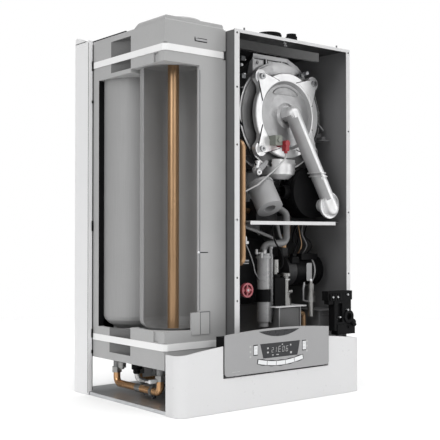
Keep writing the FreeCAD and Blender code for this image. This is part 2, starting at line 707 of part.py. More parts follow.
# door: flat rim with four webbed ears round a recessed dish
dish = turned("front", (bx, 0, bz),
              [(20, 98), (78, 98), (82, 96), (d.door_radius - 1, 96), (d.door_radius, 98),
               (d.door_radius, 109), (d.door_radius - 2, 111), (d.dome_radius + 1, 111),
               (d.dome_radius - 1, 110), (d.dome_radius - 8, 101.5), (60, 103.5),
               (34, 104.5), (26, 108), (20, 108)])
diagonal = d.bolt_pitch.value / 2 ** 0.5
fillet = 24
hub_side = d.door_radius.value + fillet
ear_side = d.ear_radius.value + fillet
ears = []
for i, k in ((-1, -1), (-1, 1), (1, -1), (1, 1)):
    turn = math.atan2(k, i)
    swing = math.acos((hub_side ** 2 + diagonal ** 2 - ear_side ** 2) / (2 * hub_side * diagonal))
    ear_x = bx + i * d.bolt_pitch / 2
    ear_z = bz + k * d.bolt_pitch / 2
    ears.append(rod("Y", (ear_x, -110, ear_z), d.ear_radius, 14))
    sides = [(bx + hub_side * math.cos(turn + way * swing), bz + hub_side * math.sin(turn + way * swing))
             for way in (-1, 1)]
    kite = plate("XZ", [[(bx + 60 * math.cos(turn), bz + 60 * math.sin(turn)), sides[0],
                         (ear_x, ear_z), sides[1]]], -109.9, -96.1)
    bites = [rod("Y", (x, -120, z), fillet, 40) for x, z in sides]
    inside = rod("Y", (bx, -130, bz), d.dome_radius + 4, 60)
    ears.append(cut(kite, inside, *bites))
    spread = math.radians(26)
    reach = d.dome_radius.value + 2
    corners = [(bx + reach * math.cos(turn - spread), bz + reach * math.sin(turn - spread)),
               (ear_x + 15 * math.cos(turn - 1.7), ear_z + 15 * math.sin(turn - 1.7)),
               (ear_x + 15 * math.cos(turn), ear_z + 15 * math.sin(turn)),
               (ear_x + 15 * math.cos(turn + 1.7), ear_z + 15 * math.sin(turn + 1.7)),
               (bx + reach * math.cos(turn + spread), bz + reach * math.sin(turn + spread))]
    ears.append(cut(plate("XZ", [corners], -113, -100), inside))
bolt_holes = [rod("Y", (bx + i * d.bolt_pitch / 2, -120, bz + k * d.bolt_pitch / 2),
                  d.bolt_radius + 0.3, 30) for i in (-1, 1) for k in (-1, 1)]
port = rod("Y", (bx, -140, bz), 16, 60)
door = finish("burner_door", cut(fuse(dish, *ears), port, *bolt_holes))
screws = []
for i in (-1, 1):
    for k in (-1, 1):
        x = bx + i * d.bolt_pitch / 2
        z = bz + k * d.bolt_pitch / 2
        head = fuse(rod("Y", (x, -120, z), 8, 6.9), rod("Y", (x, -114, z), d.bolt_radius, 17.8))
        screws.append(cut(head, rod("Y", (x, -121, z), 3.6, 5)))
finish("door_screws", together(*screws))

# duct from the fan up to the door's centre, with two collars and a round foot flange
upper = (143.0, -131.0, 731.0)
lower = (249.0, -170.0, 482.0)
seat_at = (248.0, 491.0)


def duct(shrink):
    """Duct outline, made smaller for its inner space."""
    r1 = d.duct_radius - shrink
    r2 = d.duct_end_radius - shrink
    turn, length = aim(upper, lower)
    tube = cone(turn, upper, r1, r2, length)
    neck = rod("Y", (upper[0], upper[1], upper[2]), r1 - 0.5, 22.8 + shrink)
    foot = rod("Y", (seat_at[0], lower[1] + 2, seat_at[1]), 18 - shrink, 36.8 + shrink)
    return fuse(tube, ball(upper, r1), ball(lower, r2), neck, foot)


way = (V(*lower) - V(*upper)).normalize()
collars = []
for height in (574, 565):
    joint_at = V(*upper) + way * ((height - upper[2]) / way.z)
    collars.append(rod("Z", (joint_at.x - 3, joint_at.y - 1, height), 25, 3))
seat = rod("Y", (seat_at[0], -164, seat_at[1]), 35, 5)
rim = ring("Y", (seat_at[0], -166, seat_at[1]), 35.5, 31.5, 5)
lugs = [rod("Y", (seat_at[0] + 28 * math.cos(angle), -165.5, seat_at[1] + 28 * math.sin(angle)),
            3, 3) for angle in (0.4, 3.0, 4.2)]
front_trim = block((100, 300), (-210, -187), (540, 600))
finish("mixture_duct", cut(fuse(duct(0), cut(fuse(*collars), front_trim), seat, rim, *lugs),
                           duct(d.duct_wall)))

block_body = fuse(block((78, 102), (-136, -100), (645, 670)), rod("Y", (90, -140, 658), 6, 6))
finish("electrode_block", cut(block_body, door))
cap = fuse(rod("Y", (111, -147, 650), 8, 40), block((105, 117), (-146, -131), (630, 651)),
           rod("Z", (111, -139, 624), 4.5, 8))
finish("electrode_cap", cut(cap, door))
finish("ignition_lead", bent([(111, -139, 623.8), (111, -139, 612), (60, -146, 575),
                              (4, -150, 538), (-30, -140, 520), (-84, -80, 480)], 2.2, 8))

bowl = cut(fuse(rod("Z", (143, -74, 572), 46, 40), cone("Z", (143, -74, 559), 32, 46, 13),
                rod("Z", (143, -74, 600), 48, 3), rod("Z", (143, -74, 582), 47.5, 3)),
           rod("Y", (bx, -95, bz), d.drum_radius + 5.2, 200),
           block((60, 175), (-200, -111.2), (600, 640)),
           rod("Y", (d.fan_x, d.fan_front - 2, d.fan_z), d.fan_radius + 1, 62),
           block((160, 200), (-92, -52), (550, 566)))
turn, reach = aim((38, -112, 598), (22, -124, 571))
sensor = fuse(rod(turn, (38, -112, 598), 9, reach), rod(turn, (28, -119.5, 581), 12, 6))
finish("sump_bowl", together(bowl, sensor))

sump = fuse(block((92, 124), (-100, -30), (512, 557)),
            *[block((90, 126), (-103, -29), (z, z + 3)) for z in (518, 528, 538, 548)])
finish("condensate_sump", sump)

collar = cut(fuse(rod("Z", (d.flue_x, d.flue_y, d.frame_top + 0.1), 55, 4),
                  rod("Z", (d.flue_x, d.flue_y, d.frame_top + 0.1), 51, 16),
                  rod("Z", (d.flue_x, d.flue_y, 884.2), d.flue_bore + 3, d.flue_top - 884.2),
                  rod("Z", (d.flue_x, d.flue_y, d.flue_top - 14), d.flue_bore + 5, 10)),
             rod("Z", (d.flue_x, d.flue_y, 800), d.flue_bore, 300),
             cut(rod("Z", (d.flue_x, d.flue_y, d.frame_top + 5), 47, 30),
                 rod("Z", (d.flue_x, d.flue_y, d.frame_top), d.flue_bore + 3, 40)))
plug = fuse(rod("Z", (161, -108, d.frame_top + 0.1), 15.5, 30),
            rod("Z", (161, -108, d.frame_top + 0.1), 13, 36.9))
finish("flue_collar", together(collar, plug))

# fan: scroll housing with its motor behind, wheel inside
fan_depth = d.fan_rear - d.fan_front
fx = d.fan_x
fz = d.fan_z
scroll = fuse(rod("Y", (fx, d.fan_front, fz), d.fan_radius, fan_depth),
              block((212, 268), (d.fan_front, d.fan_rear), (462, 500)),
              rod("Y", (fx, d.fan_rear - 1, fz), 30, 38),
              rod("X", (128, -102, fz), 18, 30))
chamber = rod("Y", (fx, d.fan_front + 3, fz), d.fan_radius - 4, fan_depth - 6)
outlet = rod("Y", (seat_at[0], d.fan_front - 1, seat_at[1]), 18, 6)
inlet = rod("X", (120, -102, fz), 15, 60)
bearing = rod("Y", (fx, d.fan_rear - 5, fz), d.shaft_hole, 34)
grooves = [ring("Y", (fx, y, fz), d.fan_radius + 2, d.fan_radius - 2, 3) for y in (-119, -89)]
finish("fan_housing", cut(scroll, chamber, outlet, inlet, bearing, *grooves))
hub = fuse(rod("Y", (fx, -91, fz), d.shaft_radius, 44), rod("Y", (fx, -119, fz), 12, 28),
           rod("Y", (fx, -87, fz), 60, 2))
blades = []
for number in range(14):
    blade = doc.addObject("Part::Box", fresh("blade"))
    bind(blade, "Length", 30)
    bind(blade, "Width", 2)
    bind(blade, "Height", 26)
    turn = TURN["front"].multiply(Turn(V(0, 0, 1), number * 360 / 14))
    shift = turn.multVec(V(29, -1, 86))
    blade.Placement = FreeCAD.Placement(V(), turn)
    bind(blade, "Placement.Base.x", fx + shift.x)
    bind(blade, "Placement.Base.y", shift.y)
    bind(blade, "Placement.Base.z", fz + shift.z)
    blades.append(blade)
finish("fan_impeller", fuse(hub, *blades))

muffler_top = (44.0, -112.0, 541.0)
muffler_end = (41.0, -155.0, 478.0)
turn, length = aim(muffler_top, muffler_end)
mouth_turn, mouth_length = aim(muffler_end, muffler_top)
muffler = fuse(rod(turn, muffler_top, 34, length), rod(turn, muffler_top, 36, 8))
finish("air_silencer", cut(muffler, rod(mouth_turn, muffler_end, 15, 70)))

valve = fuse(block((68, 142), (-72, -14), (450, 500)), rod("Z", (90, -46, 500), 17, 8),
             rod("Y", (86, -80, 476), 11, 8), rod("X", (142, -46, 474), 12, 14))
finish("gas_valve", valve)

# ---------------------------------------------------------------- hydraulics
py = d.pump_y
pz = d.pump_z
volute = fuse(rod("X", (d.pump_left, py, pz), 41, 30), rod("Z", (156, py, 262), 14, 115))
body = cut(volute, rod("X", (d.pump_left + 3, py, pz), 33, 30), rod("Z", (156, py, 250), 11, 150))
finish("pump_body", body)
motor = fuse(rod("X", (171.1, py, pz), d.pump_radius, 96), rod("X", (266, py, pz), 34, 9),
             block((190, 250), (py - 36, py - 6), (pz + 30, pz + 46)))
lines = [ring("X", (x, py, pz), d.pump_radius + 1, d.pump_radius - 2, 2.5)
         for x in (206, 234, 246, 258)]
finish("pump_motor", cut(motor, rod("X", (165, py, pz), d.shaft_hole, 60), *lines))
wheel = fuse(rod("X", (160, py, pz), d.shaft_radius, 62), rod("X", (150, py, pz), 30, 3),
             rod("X", (150, py, pz), 9, 16), rod("X", (162, py, pz), 30, 2.5))
vanes = []
for number in range(6):
    vane = doc.addObject("Part::Box", fresh("vane"))
    bind(vane, "Length", 22)
    bind(vane, "Width", 2)
    bind(vane, "Height", 11)
    turn = TURN["X"].multiply(Turn(V(0, 0, 1), number * 60))
    shift = turn.multVec(V(8, -1, 152))
    vane.Placement = FreeCAD.Placement(V(), turn)
    bind(vane, "Placement.Base.x", shift.x)
    bind(vane, "Placement.Base.y", py + shift.y)
    bind(vane, "Placement.Base.z", pz + shift.z)
    vanes.append(vane)
finish("pump_impeller", fuse(wheel, *vanes))

tx = d.trap_x
ty = d.trap_y
trap = fuse(rod("Z", (tx, ty, 189), d.trap_radius - 1.5, 170),
            rod("Z", (tx, ty, 240), d.trap_radius + 1, 32),
            rod("Z", (tx, ty, 350), d.trap_radius, 14),
            rod("Z", (tx, ty, 176), d.trap_radius - 5, 16),
            rod("Z", (tx + 17, ty - 12, 186), 4, 176))
finish("condensate_trap", cut(trap, rod("Z", (tx, ty, 345), 8, 25)))
finish("condensate_hose", bent([(tx, ty, 364.2), (tx, ty, 386), (131, ty, 392), (131, ty, 468),
                                (112, -84, 494), (112, -84, 511.8)], 9, 18, 6.5))

plates = []
pitch = d.plate_pitch
for number in range(20):
    x = d.plate_left + pitch * number + 1.2
    plates.append(block((x, x + d.plate_gauge), (d.plate_front, d.plate_back),
                        (d.plate_bottom, d.plate_top)))
spines = [rod("X", (d.plate_left + 1.2, y, z), 11, pitch * 19 + d.plate_gauge)
          for y in (-132, 25) for z in (164, 204)]
finish("exchanger_plates", fuse(*(plates + spines)))
ends = []
for low in (d.plate_left - 3, d.plate_right - 1.5):
    ends.append(block((low, low + 4), (d.plate_front - 2, d.plate_back + 2),
                      (d.plate_bottom - 2, d.plate_top + 2)))
ports = [rod("X", (d.plate_right + 2, y, z), 9, 12) for y in (-132, 25) for z in (164, 204)]
finish("exchanger_end_plates", together(ends[0], fuse(ends[1], *ports)))

finish("diverter_motor", fuse(block((74, 110), (-138, -102), (227, 300)),
                              rod("Z", (92, -120, 300), 12, 9)))

# hydraulic block: valves, T pieces, risers and the five pipe tails under the floor
manifold = cut(fuse(block((-78, 68), (-60, 0), (52, 104)), rod("X", (-84, -30, 78), 16, 160)),
               block((-73, 63), (-54, -6), (58, 97)))
relief = fuse(rod("Z", (d.knob_x, -110, 104.5), 12, 190),
              rod("Y", (d.knob_x, -148, d.knob_z), 10, 40),
              rod("Y", (d.knob_x, -170, d.knob_z), 3, 24),
              block((d.knob_x - 16, d.knob_x + 16), (-124, -50), (90, 110)),
              rod("Z", (d.knob_x, -110, 160), 17, 26))
tee = fuse(rod("Z", (127, -120, 224.5), 12.5, 35), rod("Z", (127, -120, 250), 8.5, 61),
           rod("Z", (127, -120, 303), 13.5, 8),
           rod("Z", (127, -120, 226), 15, 20), rod("X", (127, -120, 262), 5, 22))
vial = fuse(rod("Z", (90, -120, 314), 10, 33), rod("Z", (90, -120, 309.5), 6, 8))
vent = fuse(rod("Z", (193, -148, 196), 8, 86), rod("Z", (193, -148, 234), 11.5, 16),
            rod("Z", (193, -148, 244), 9.5, 18), rod("Z", (193, -148, 280), 4.5, 8))
tails = []
for x in tails_x:
    tail = fuse(rod("Z", (x, d.tail_y, 0), d.tail_radius, 44),
                rod("Z", (x, d.tail_y, 12), d.tail_radius + 4, 12))
    tails.append(cut(tail, rod("Z", (x, d.tail_y, -1), d.tail_bore, 40)))
finish("pipe_tails", together(*tails))
finish("hydraulic_block", together(fuse(manifold, relief), tee, vial, vent))

knob = fuse(ring("Y", (d.knob_x, -168, d.knob_z), 18, 13.5, 8), rod("Y", (d.knob_x, -170, d.knob_z), 7, 14),
            block((d.knob_x - 15, d.knob_x + 15), (-167, -162), (d.knob_z - 2.5, d.knob_z + 2.5)),
            block((d.knob_x - 2.5, d.knob_x + 2.5), (-167, -162), (d.knob_z - 15, d.knob_z + 15)))
finish("relief_valve_knob", cut(knob, rod("Y", (d.knob_x, -170.5, d.knob_z), 3.05, 20)))

pipes = [bent([(166.2, -132, 204), (180, -132, 204), (180, -132, 120), (120, -60, 120),
               (120, d.tail_y, 90), (120, d.tail_y, 44.2)], 7.5, 9, 6.5),
         bent([(-62, -30, 104.2), (-62, -30, 320), (-62, -168, 345), (-62, -168, 640),
               (-62, -70, 640), (29, -70, 640)], 8, 14, 7),
         bent([(156, -80, 377.2), (156, -80, 404), (200, -50, 412), (200, -50, 470)], 9, 14, 7.8),
         bent([(0, d.tail_y, 44.2), (0, d.tail_y, 160), (0, -40, 200), (0, -40, 476),
               (67.8, -40, 476)], 7, 14, 6)]
finish("copper_pipes", together(*pipes))

vessel = turned("Y", (d.vessel_x, 0, d.vessel_z),
                [(0, 50), (60, 54), (110, 66), (d.vessel_radius - 4, 84), (d.vessel_radius, 96),
                 (d.vessel_radius + 3, 96), (d.vessel_radius + 3, 102), (d.vessel_radius, 102),
                 (d.vessel_radius - 4, 114), (110, 132), (60, 144), (0, 148)])
inside = turned("Y", (d.vessel_x, 0, d.vessel_z),
                [(0, 52), (59.5, 56), (108.5, 68), (132, 85), (136, 97), (136, 101), (132, 113),
                 (108.5, 130), (59.5, 142), (0, 146)])
finish("expansion_vessel", cut(vessel, inside))

# ---------------------------------------------------------------- checks and export
doc.recompute()
for obj in doc.Objects:
    if any(word in ("Invalid", "Error") for word in obj.State):
        raise RuntimeError("%s is not valid: %s" % (obj.Name, obj.State))
for name, obj in FINISHED:
    shape = obj.Shape
    if shape.isNull() or not shape.isValid() or not shape.Solids:
        raise RuntimeError("%s has no valid solid" % name)
    shape.exportStep("parts/%s.step" % name)
    box = shape.BoundBox
    print("%-24s %d  x %8.1f %8.1f  y %8.1f %8.1f  z %8.1f %8.1f" % (
        name, len(shape.Solids), box.XMin, box.XMax, box.YMin, box.YMax, box.ZMin, box.ZMax))
print(len(FINISHED), "nodes")
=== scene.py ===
import bmesh
import bpy
import math
import random
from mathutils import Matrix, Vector


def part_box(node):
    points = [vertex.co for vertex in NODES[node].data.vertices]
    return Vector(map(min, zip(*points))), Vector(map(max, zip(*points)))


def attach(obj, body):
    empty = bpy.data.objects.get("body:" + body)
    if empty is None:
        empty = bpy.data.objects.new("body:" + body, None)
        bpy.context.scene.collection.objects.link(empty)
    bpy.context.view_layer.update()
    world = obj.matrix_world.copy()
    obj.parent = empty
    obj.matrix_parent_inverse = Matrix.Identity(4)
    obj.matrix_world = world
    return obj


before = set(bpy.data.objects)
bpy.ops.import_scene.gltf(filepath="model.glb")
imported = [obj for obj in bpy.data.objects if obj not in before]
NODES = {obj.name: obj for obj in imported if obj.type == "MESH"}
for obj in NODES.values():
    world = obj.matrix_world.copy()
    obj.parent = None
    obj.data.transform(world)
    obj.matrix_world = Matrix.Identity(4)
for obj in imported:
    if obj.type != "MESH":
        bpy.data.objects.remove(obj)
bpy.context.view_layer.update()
MM = 0.001


# ---------------------------------------------------------------- material building
class Shader:
    """A principled material with small helpers for its procedural inputs."""

    def __init__(self, name, colour, rough, metal=0.0, coat=0.0, specular=0.5, ior=1.5):
        self.material = bpy.data.materials.new(name)
        self.material.use_nodes = True
        self.tree = self.material.node_tree
        self.base = self.tree.nodes["Principled BSDF"]
        self.base.inputs["Base Color"].default_value = (*colour, 1)
        self.base.inputs["Roughness"].default_value = rough
        self.base.inputs["Metallic"].default_value = metal
        self.base.inputs["Coat Weight"].default_value = coat
        self.base.inputs["Coat Roughness"].default_value = 0.12
        self.base.inputs["Specular IOR Level"].default_value = specular
        self.base.inputs["IOR"].default_value = ior
        self.place = self.tree.nodes.new("ShaderNodeTexCoord").outputs["Object"]

    def node(self, kind):
        return self.tree.nodes.new(kind)

    def link(self, output, target):
        self.tree.links.new(output, target)

    def noise(self, scale, detail=3.0, rough=0.55, stretch=None):
        """Noise value, its scale in features per metre; stretch scales the three axes."""
        made = self.node("ShaderNodeTexNoise")
        made.inputs["Scale"].default_value = scale
        made.inputs["Detail"].default_value = detail
        made.inputs["Roughness"].default_value = rough
        source = self.place
        if stretch is not None:
            mapping = self.node("ShaderNodeMapping")
            mapping.inputs["Scale"].default_value = stretch
            self.link(self.place, mapping.inputs["Vector"])
            source = mapping.outputs["Vector"]
        self.link(source, made.inputs["Vector"])
        return made.outputs["Fac"]

    def span(self, value, low, high):
        """The value from about 0.3 to 0.7 spread between low and high."""
        made = self.node("ShaderNodeMapRange")
        made.inputs["From Min"].default_value = 0.3
        made.inputs["From Max"].default_value = 0.7
        made.inputs["To Min"].default_value = low
        made.inputs["To Max"].default_value = high
        self.link(value, made.inputs["Value"])
        return made.outputs["Result"]

    def vary_rough(self, value, low, high):
        self.link(self.span(value, low, high), self.base.inputs["Roughness"])

    def vary_colour(self, value, first, second):
        ramp = self.node("ShaderNodeValToRGB")
        ramp.color_ramp.elements[0].position = 0.3
        ramp.color_ramp.elements[1].position = 0.7
        ramp.color_ramp.elements[0].color = (*first, 1)
        ramp.color_ramp.elements[1].color = (*second, 1)
        self.link(value, ramp.inputs["Fac"])
        self.link(ramp.outputs["Color"], self.base.inputs["Base Color"])
        return ramp.outputs["Color"]

    def bump(self, value, strength, distance=0.001, normal=None):
        made = self.node("ShaderNodeBump")
        made.inputs["Strength"].default_value = strength
        made.inputs["Distance"].default_value = distance
        self.link(value, made.inputs["Height"])
        if normal is not None:
            self.link(normal, made.inputs["Normal"])
        self.link(made.outputs["Normal"], self.base.inputs["Normal"])
        return made.outputs["Normal"]


def shade(colour, factor):
    """The colour made lighter or darker."""
    return tuple(min(1.0, part * factor) for part in colour)


def painted(name, colour, rough=0.38, spread=0.03, peel=0.12):
    """Powder coat: faint orange peel, slight mottling in colour and gloss."""
    made = Shader(name, colour, rough)
    mottle = made.noise(9, 4)
    made.vary_colour(mottle, shade(colour, 1 - spread), shade(colour, 1 + spread * 0.6))
    made.vary_rough(made.noise(60, 3), rough - 0.06, rough + 0.08)
    made.bump(made.noise(900, 2), peel, 0.0004)
    return made.material


def moulded(name, colour, rough=0.45, grain=1400, depth=0.2, spread=0.05, coat=0.0, shine=0.5,
            ior=1.5):
    """Moulded plastic with a fine spark-eroded grain."""
    made = Shader(name, colour, rough, coat=coat, specular=shine, ior=ior)
    made.vary_colour(made.noise(14, 4), shade(colour, 1 - spread), shade(colour, 1 + spread))
    made.vary_rough(made.noise(80, 3), rough - 0.07, rough + 0.09)
    made.bump(made.noise(grain, 2), depth, 0.0003)
    return made.material


def metal(name, colour, rough, stretch=(1, 1, 1), scale=500, depth=0.08, spread=0.06,
          metallic=1.0):
    """Metal with a directional brushed or rolled texture."""
    made = Shader(name, colour, rough, metal=metallic)
    lines = made.noise(scale, 3, 0.6, stretch)
    made.vary_colour(made.noise(12, 4), shade(colour, 1 - spread), shade(colour, 1 + spread))
    made.vary_rough(lines, rough - 0.07, rough + 0.1)
    made.bump(lines, depth, 0.0003)
    return made.material


def cast(name, colour, rough=0.36, metallic=1.0, depth=0.35):
    """Die cast metal: fine sandy skin under broad soft unevenness."""
    made = Shader(name, colour, rough, metal=metallic)
    made.vary_colour(made.noise(22, 5), shade(colour, 0.9), shade(colour, 1.06))
    made.vary_rough(made.noise(160, 4), rough - 0.07, rough + 0.12)
    broad = made.bump(made.noise(45, 3), 0.12, 0.002)
    made.bump(made.noise(1100, 3), depth, 0.0003, broad)
    return made.material


def foam(name, colour):
    """Moulded bead foam: packed beads a few millimetres wide with a satin skin."""
    made = Shader(name, colour, 0.62, specular=0.35)
    beads = made.node("ShaderNodeTexVoronoi")
    beads.inputs["Scale"].default_value = 260
    made.link(made.place, beads.inputs["Vector"])
    made.vary_colour(made.noise(10, 4), shade(colour, 0.965), shade(colour, 1.03))
    made.vary_rough(beads.outputs["Distance"], 0.52, 0.7)
    broad = made.bump(made.noise(30, 3), 0.05, 0.002)
    made.bump(beads.outputs["Distance"], 0.10, 0.0005, broad)
    return made.material


def painted_gradient(name, rough, metallic, axis, start, end, stops):
    """Painted light and shade: a tone that runs through the stops (place, grey) along one axis of
    the part.
    """
    made = Shader(name, (0.2, 0.2, 0.2), rough, metal=metallic)
    split = made.node("ShaderNodeSeparateXYZ")
    made.link(made.place, split.inputs["Vector"])
    place = made.node("ShaderNodeMapRange")
    place.inputs["From Min"].default_value = start
    place.inputs["From Max"].default_value = end
    made.link(split.outputs[axis], place.inputs["Value"])
    ramp = made.node("ShaderNodeValToRGB")
    marks = ramp.color_ramp.elements
    while len(marks) < len(stops):
        marks.new(0.5)
    for mark, (where, grey) in zip(marks, stops):
        mark.position = where
        mark.color = (grey, grey, grey * 1.01, 1)
    made.link(place.outputs["Result"], ramp.inputs["Fac"])
    made.link(ramp.outputs["Color"], made.base.inputs["Base Color"])
    made.vary_rough(made.noise(120, 4), rough - 0.06, rough + 0.1)
    made.bump(made.noise(900, 3), 0.2, 0.0003)
    return made.material


LOOK = {
    # Crossbar: painted shade, near black at its left end and lighter towards the right.
    "crossbar": painted_gradient("crossbar_shade_paint", 0.5, 0.0, "X", -0.05, 0.25,
                       ((0.0, 0.008), (0.25, 0.012), (0.6, 0.05), (1.0, 0.085))),
    # Drum: painted shade that darkens it towards the bottom, with a much lighter band over the
    # crown.
    "drum": painted_gradient("drum_shade_casting", 0.4, 0.6, "Z", 0.56, 0.89,
                   ((0.0, 0.10), (0.55, 0.17), (0.76, 0.24), (0.84, 0.62), (1.0, 0.72))),
    "white": painted("white_paint", (0.745, 0.745, 0.75), 0.4, 0.008, 0.03),
    "flange": painted("flange_paint", (0.61, 0.61, 0.615), 0.42, 0.01, 0.03),
    # Darker copy of the inner paint: painted shade on the left panel's face towards the tanks.
    "tank_side_shade": painted("tank_side_shade_paint", (0.098, 0.098, 0.1), 0.45, 0.05, 0.06),
    "inner": painted("inner_paint", (0.15, 0.15, 0.153), 0.45, 0.05, 0.06),
    "shade_paint": painted("shade_paint", (0.022, 0.022, 0.023), 0.55, 0.1, 0.06),
    "shelf": painted("shelf_paint", (0.24, 0.24, 0.242), 0.45, 0.04, 0.06),
    "zinc": metal("zinc_sheet", (0.60, 0.61, 0.62), 0.36, (1, 6, 1), 160, 0.05, 0.12),
    "fascia": moulded("fascia_plastic", (0.625, 0.625, 0.63), 0.34, 1600, 0.02, 0.004, 0.1),
    "cover": moulded("cover_grey", (0.30, 0.30, 0.304), 0.42, 1500, 0.14, 0.02),
    "black": moulded("black_plastic", (0.006, 0.006, 0.0065), 0.5, 1200, 0.05, 0.2, 0, 0.3, 1.2),
    "black_gloss": moulded("black_gloss", (0.005, 0.005, 0.0055), 0.32, 1500, 0.03, 0.15, 0, 0.3,
                           1.2),
    "badge": moulded("badge_dark", (0.022, 0.0225, 0.025), 0.3, 1600, 0.05, 0.05, 0.02, 0.25),
    "screen": moulded("screen_dark", (0.028, 0.029, 0.032), 0.14, 1600, 0.01, 0.04, 0.02, 0.25),
    "key": moulded("key_white", (0.72, 0.73, 0.74), 0.32, 1600, 0.06, 0.02, 0.2),
    "board": moulded("board_green", (0.02, 0.09, 0.045), 0.35, 700, 0.3, 0.15),
    "foam": foam("foam_grey", (0.375, 0.375, 0.375)),
    # Darker copy of the foam: painted shade for the wedge hollows.
    "foam_hollow_shade": foam("foam_grey_hollow_shade", (0.13, 0.13, 0.13)),
    "strap": moulded("strap_white", (0.79, 0.79, 0.79), 0.5, 900, 0.3, 0.02),
    "steel": metal("stainless", (0.315, 0.315, 0.315), 0.62, (1, 1, 0.04), 260, 0.01, 0.02, 0.25),
    # Lighter, less metallic copy of the stainless: painted light on the inner wall of the cut
    # tank.
    "steel_lit_inside": metal("stainless_lit_inside", (0.345, 0.345, 0.345), 0.6, (1, 1, 0.04), 200, 0.01,
                          0.03, 0.1),
    "steel_fine": metal("stainless_plate", (0.62, 0.62, 0.62), 0.26, (1, 1, 0.1), 700, 0.04),
    "plates": metal("plate_stack", (0.23, 0.23, 0.232), 0.42, (1, 1, 0.2), 300, 0.03, 0.06, 0.6),
    "copper": metal("copper_tube", (0.62, 0.36, 0.18), 0.3, (1, 1, 0.06), 420, 0.02, 0.14, 0.9),
    "copper_dull": metal("copper_draw_tube", (0.43, 0.27, 0.15), 0.34, (1, 1, 0.04), 300, 0.01,
                         0.06, 0.7),
    "brass": cast("nickel_brass", (0.345, 0.343, 0.335), 0.34),
    "silver_fitting": cast("silver_fitting", (0.62, 0.62, 0.615), 0.3),
    "alloy": cast("cast_alloy", (0.84, 0.84, 0.845), 0.38, 0.6, 0.12),
    # Darker copy of the cast alloy: painted shade for the dish's slope and the duct's lower
    # flank.
    "alloy_flank_shade": cast("cast_alloy_flank_shade", (0.34, 0.34, 0.344), 0.45, 0.4, 0.12),
    # Darker copy of the cast alloy: painted shade on the sunk dish of the door.
    "alloy_sunk_shade": cast("cast_alloy_sunk_shade", (0.42, 0.42, 0.425), 0.38, 0.75, 0.1),
    "alloy_mid": cast("cast_alloy_mid", (0.26, 0.26, 0.265), 0.42, 0.8, 0.15),
    "alloy_dark": cast("cast_alloy_dark", (0.16, 0.165, 0.17), 0.42),
    "screw": metal("zinc_screw", (0.33, 0.335, 0.34), 0.34, (1, 1, 1), 300, 0.05),
    "ceramic": cast("electrode_body", (0.22, 0.235, 0.205), 0.5, 0.0, 0.2),
    "red": moulded("red_cap", (0.30, 0.018, 0.025), 0.42, 900, 0.2, 0.08),
    "red_knob": moulded("red_knob", (0.30, 0.05, 0.065), 0.35, 1200, 0.1, 0.06, 0.2),
    "lead": moulded("pale_lead", (0.42, 0.42, 0.42), 0.4, 900, 0.1, 0.05),
    "grey": moulded("grey_plastic", (0.20, 0.20, 0.203), 0.42, 1200, 0.16, 0.06),
    "silencer": moulded("grey_silencer", (0.31, 0.31, 0.315), 0.45, 1200, 0.16, 0.06),
    "grey_light": moulded("grey_plastic_light", (0.34, 0.34, 0.345), 0.4, 1200, 0.12, 0.05),
    "trap": moulded("trap_plastic", (0.30, 0.30, 0.305), 0.28, 1200, 0.08, 0.05, 0.5),
    "vessel": painted("vessel_paint", (0.03, 0.03, 0.032), 0.45, 0.08),
    "cast_black": cast("black_casting", (0.012, 0.012, 0.013), 0.5, 0.0, 0.5),
}

WEARS = {
    "back_plate": "white", "side_panel_left": "white", "side_panel_right": "white",
    "frame_left_panel": "inner", "frame_right_panel": "inner", "frame_top_panel": "inner",
    "crossbar": "crossbar", "chamber_shelf": "shelf", "bottom_plate": "zinc", "fascia": "fascia",
    "cable_block": "black", "control_cover": "cover", "badge_plate": "badge",
    "display_window": "screen", "control_box": "black", "control_board": "board",
    "tank_insulation_rear": "foam", "tank_insulation_front": "foam",
    "insulation_straps": "strap", "tank_rear": "steel", "tank_front": "steel",
    "draw_off_tube": "copper_dull", "tank_unions": "brass", "tank_link_pipe": "copper",
    "exchanger_drum": "drum", "heat_coil": "steel_fine", "burner_head": "steel_fine",
    "burner_door": "alloy", "door_screws": "screw", "mixture_duct": "alloy",
    "electrode_block": "ceramic", "electrode_cap": "red", "ignition_lead": "lead",
    "sump_bowl": "alloy", "condensate_sump": "black", "flue_collar": "black",
    "fan_housing": "black", "fan_impeller": "black", "air_silencer": "silencer",
    "gas_valve": "cast_black", "pump_body": "cast_black", "pump_motor": "black_gloss",
    "pump_impeller": "grey", "condensate_trap": "trap", "condensate_hose": "grey",
    "exchanger_plates": "plates", "exchanger_end_plates": "plates",
    "diverter_motor": "black", "relief_valve_knob": "red_knob", "hydraulic_block": "brass",
    "pipe_tails": "brass", "copper_pipes": "copper_dull", "expansion_vessel": "vessel",
}
KEYS = ["button_%d" % (i + 1) for i in range(5)] + ["button_left", "button_right"]
WEARS.update({key: "key" for key in KEYS})


def soften(piece, width, angle=32):
    """Smooth shading with crisp edges and a small rounded bevel on them."""
    piece.data.shade_smooth()
    piece.data.set_sharp_from_angle(angle=math.radians(angle))
    if width:
        bevel = piece.modifiers.new("edges", "BEVEL")
        bevel.width = width
        bevel.segments = 2
        bevel.limit_method = "ANGLE"
        bevel.angle_limit = math.radians(angle + 8)
        bevel.use_clamp_overlap = True
        bevel.harden_normals = False


def dress_nodes():
    """Give every solid its finish and smooth shading."""
    for name, look in WEARS.items():
        materials = NODES[name].data.materials
        materials.clear()
        materials.append(LOOK[look])
        soften(NODES[name], 0)


def low_mm(node):
    """Lowest corner of a node's box (mm)."""
    return Vector(round(value / MM, 3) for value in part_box(node)[0])


def high_mm(node):
    """Highest corner of a node's box (mm)."""
    return Vector(round(value / MM, 3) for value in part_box(node)[1])


DOOR = (low_mm("burner_door") + high_mm("burner_door")) / 2 * MM
FRONT_TANK = (low_mm("tank_front") + high_mm("tank_front")) / 2 * MM


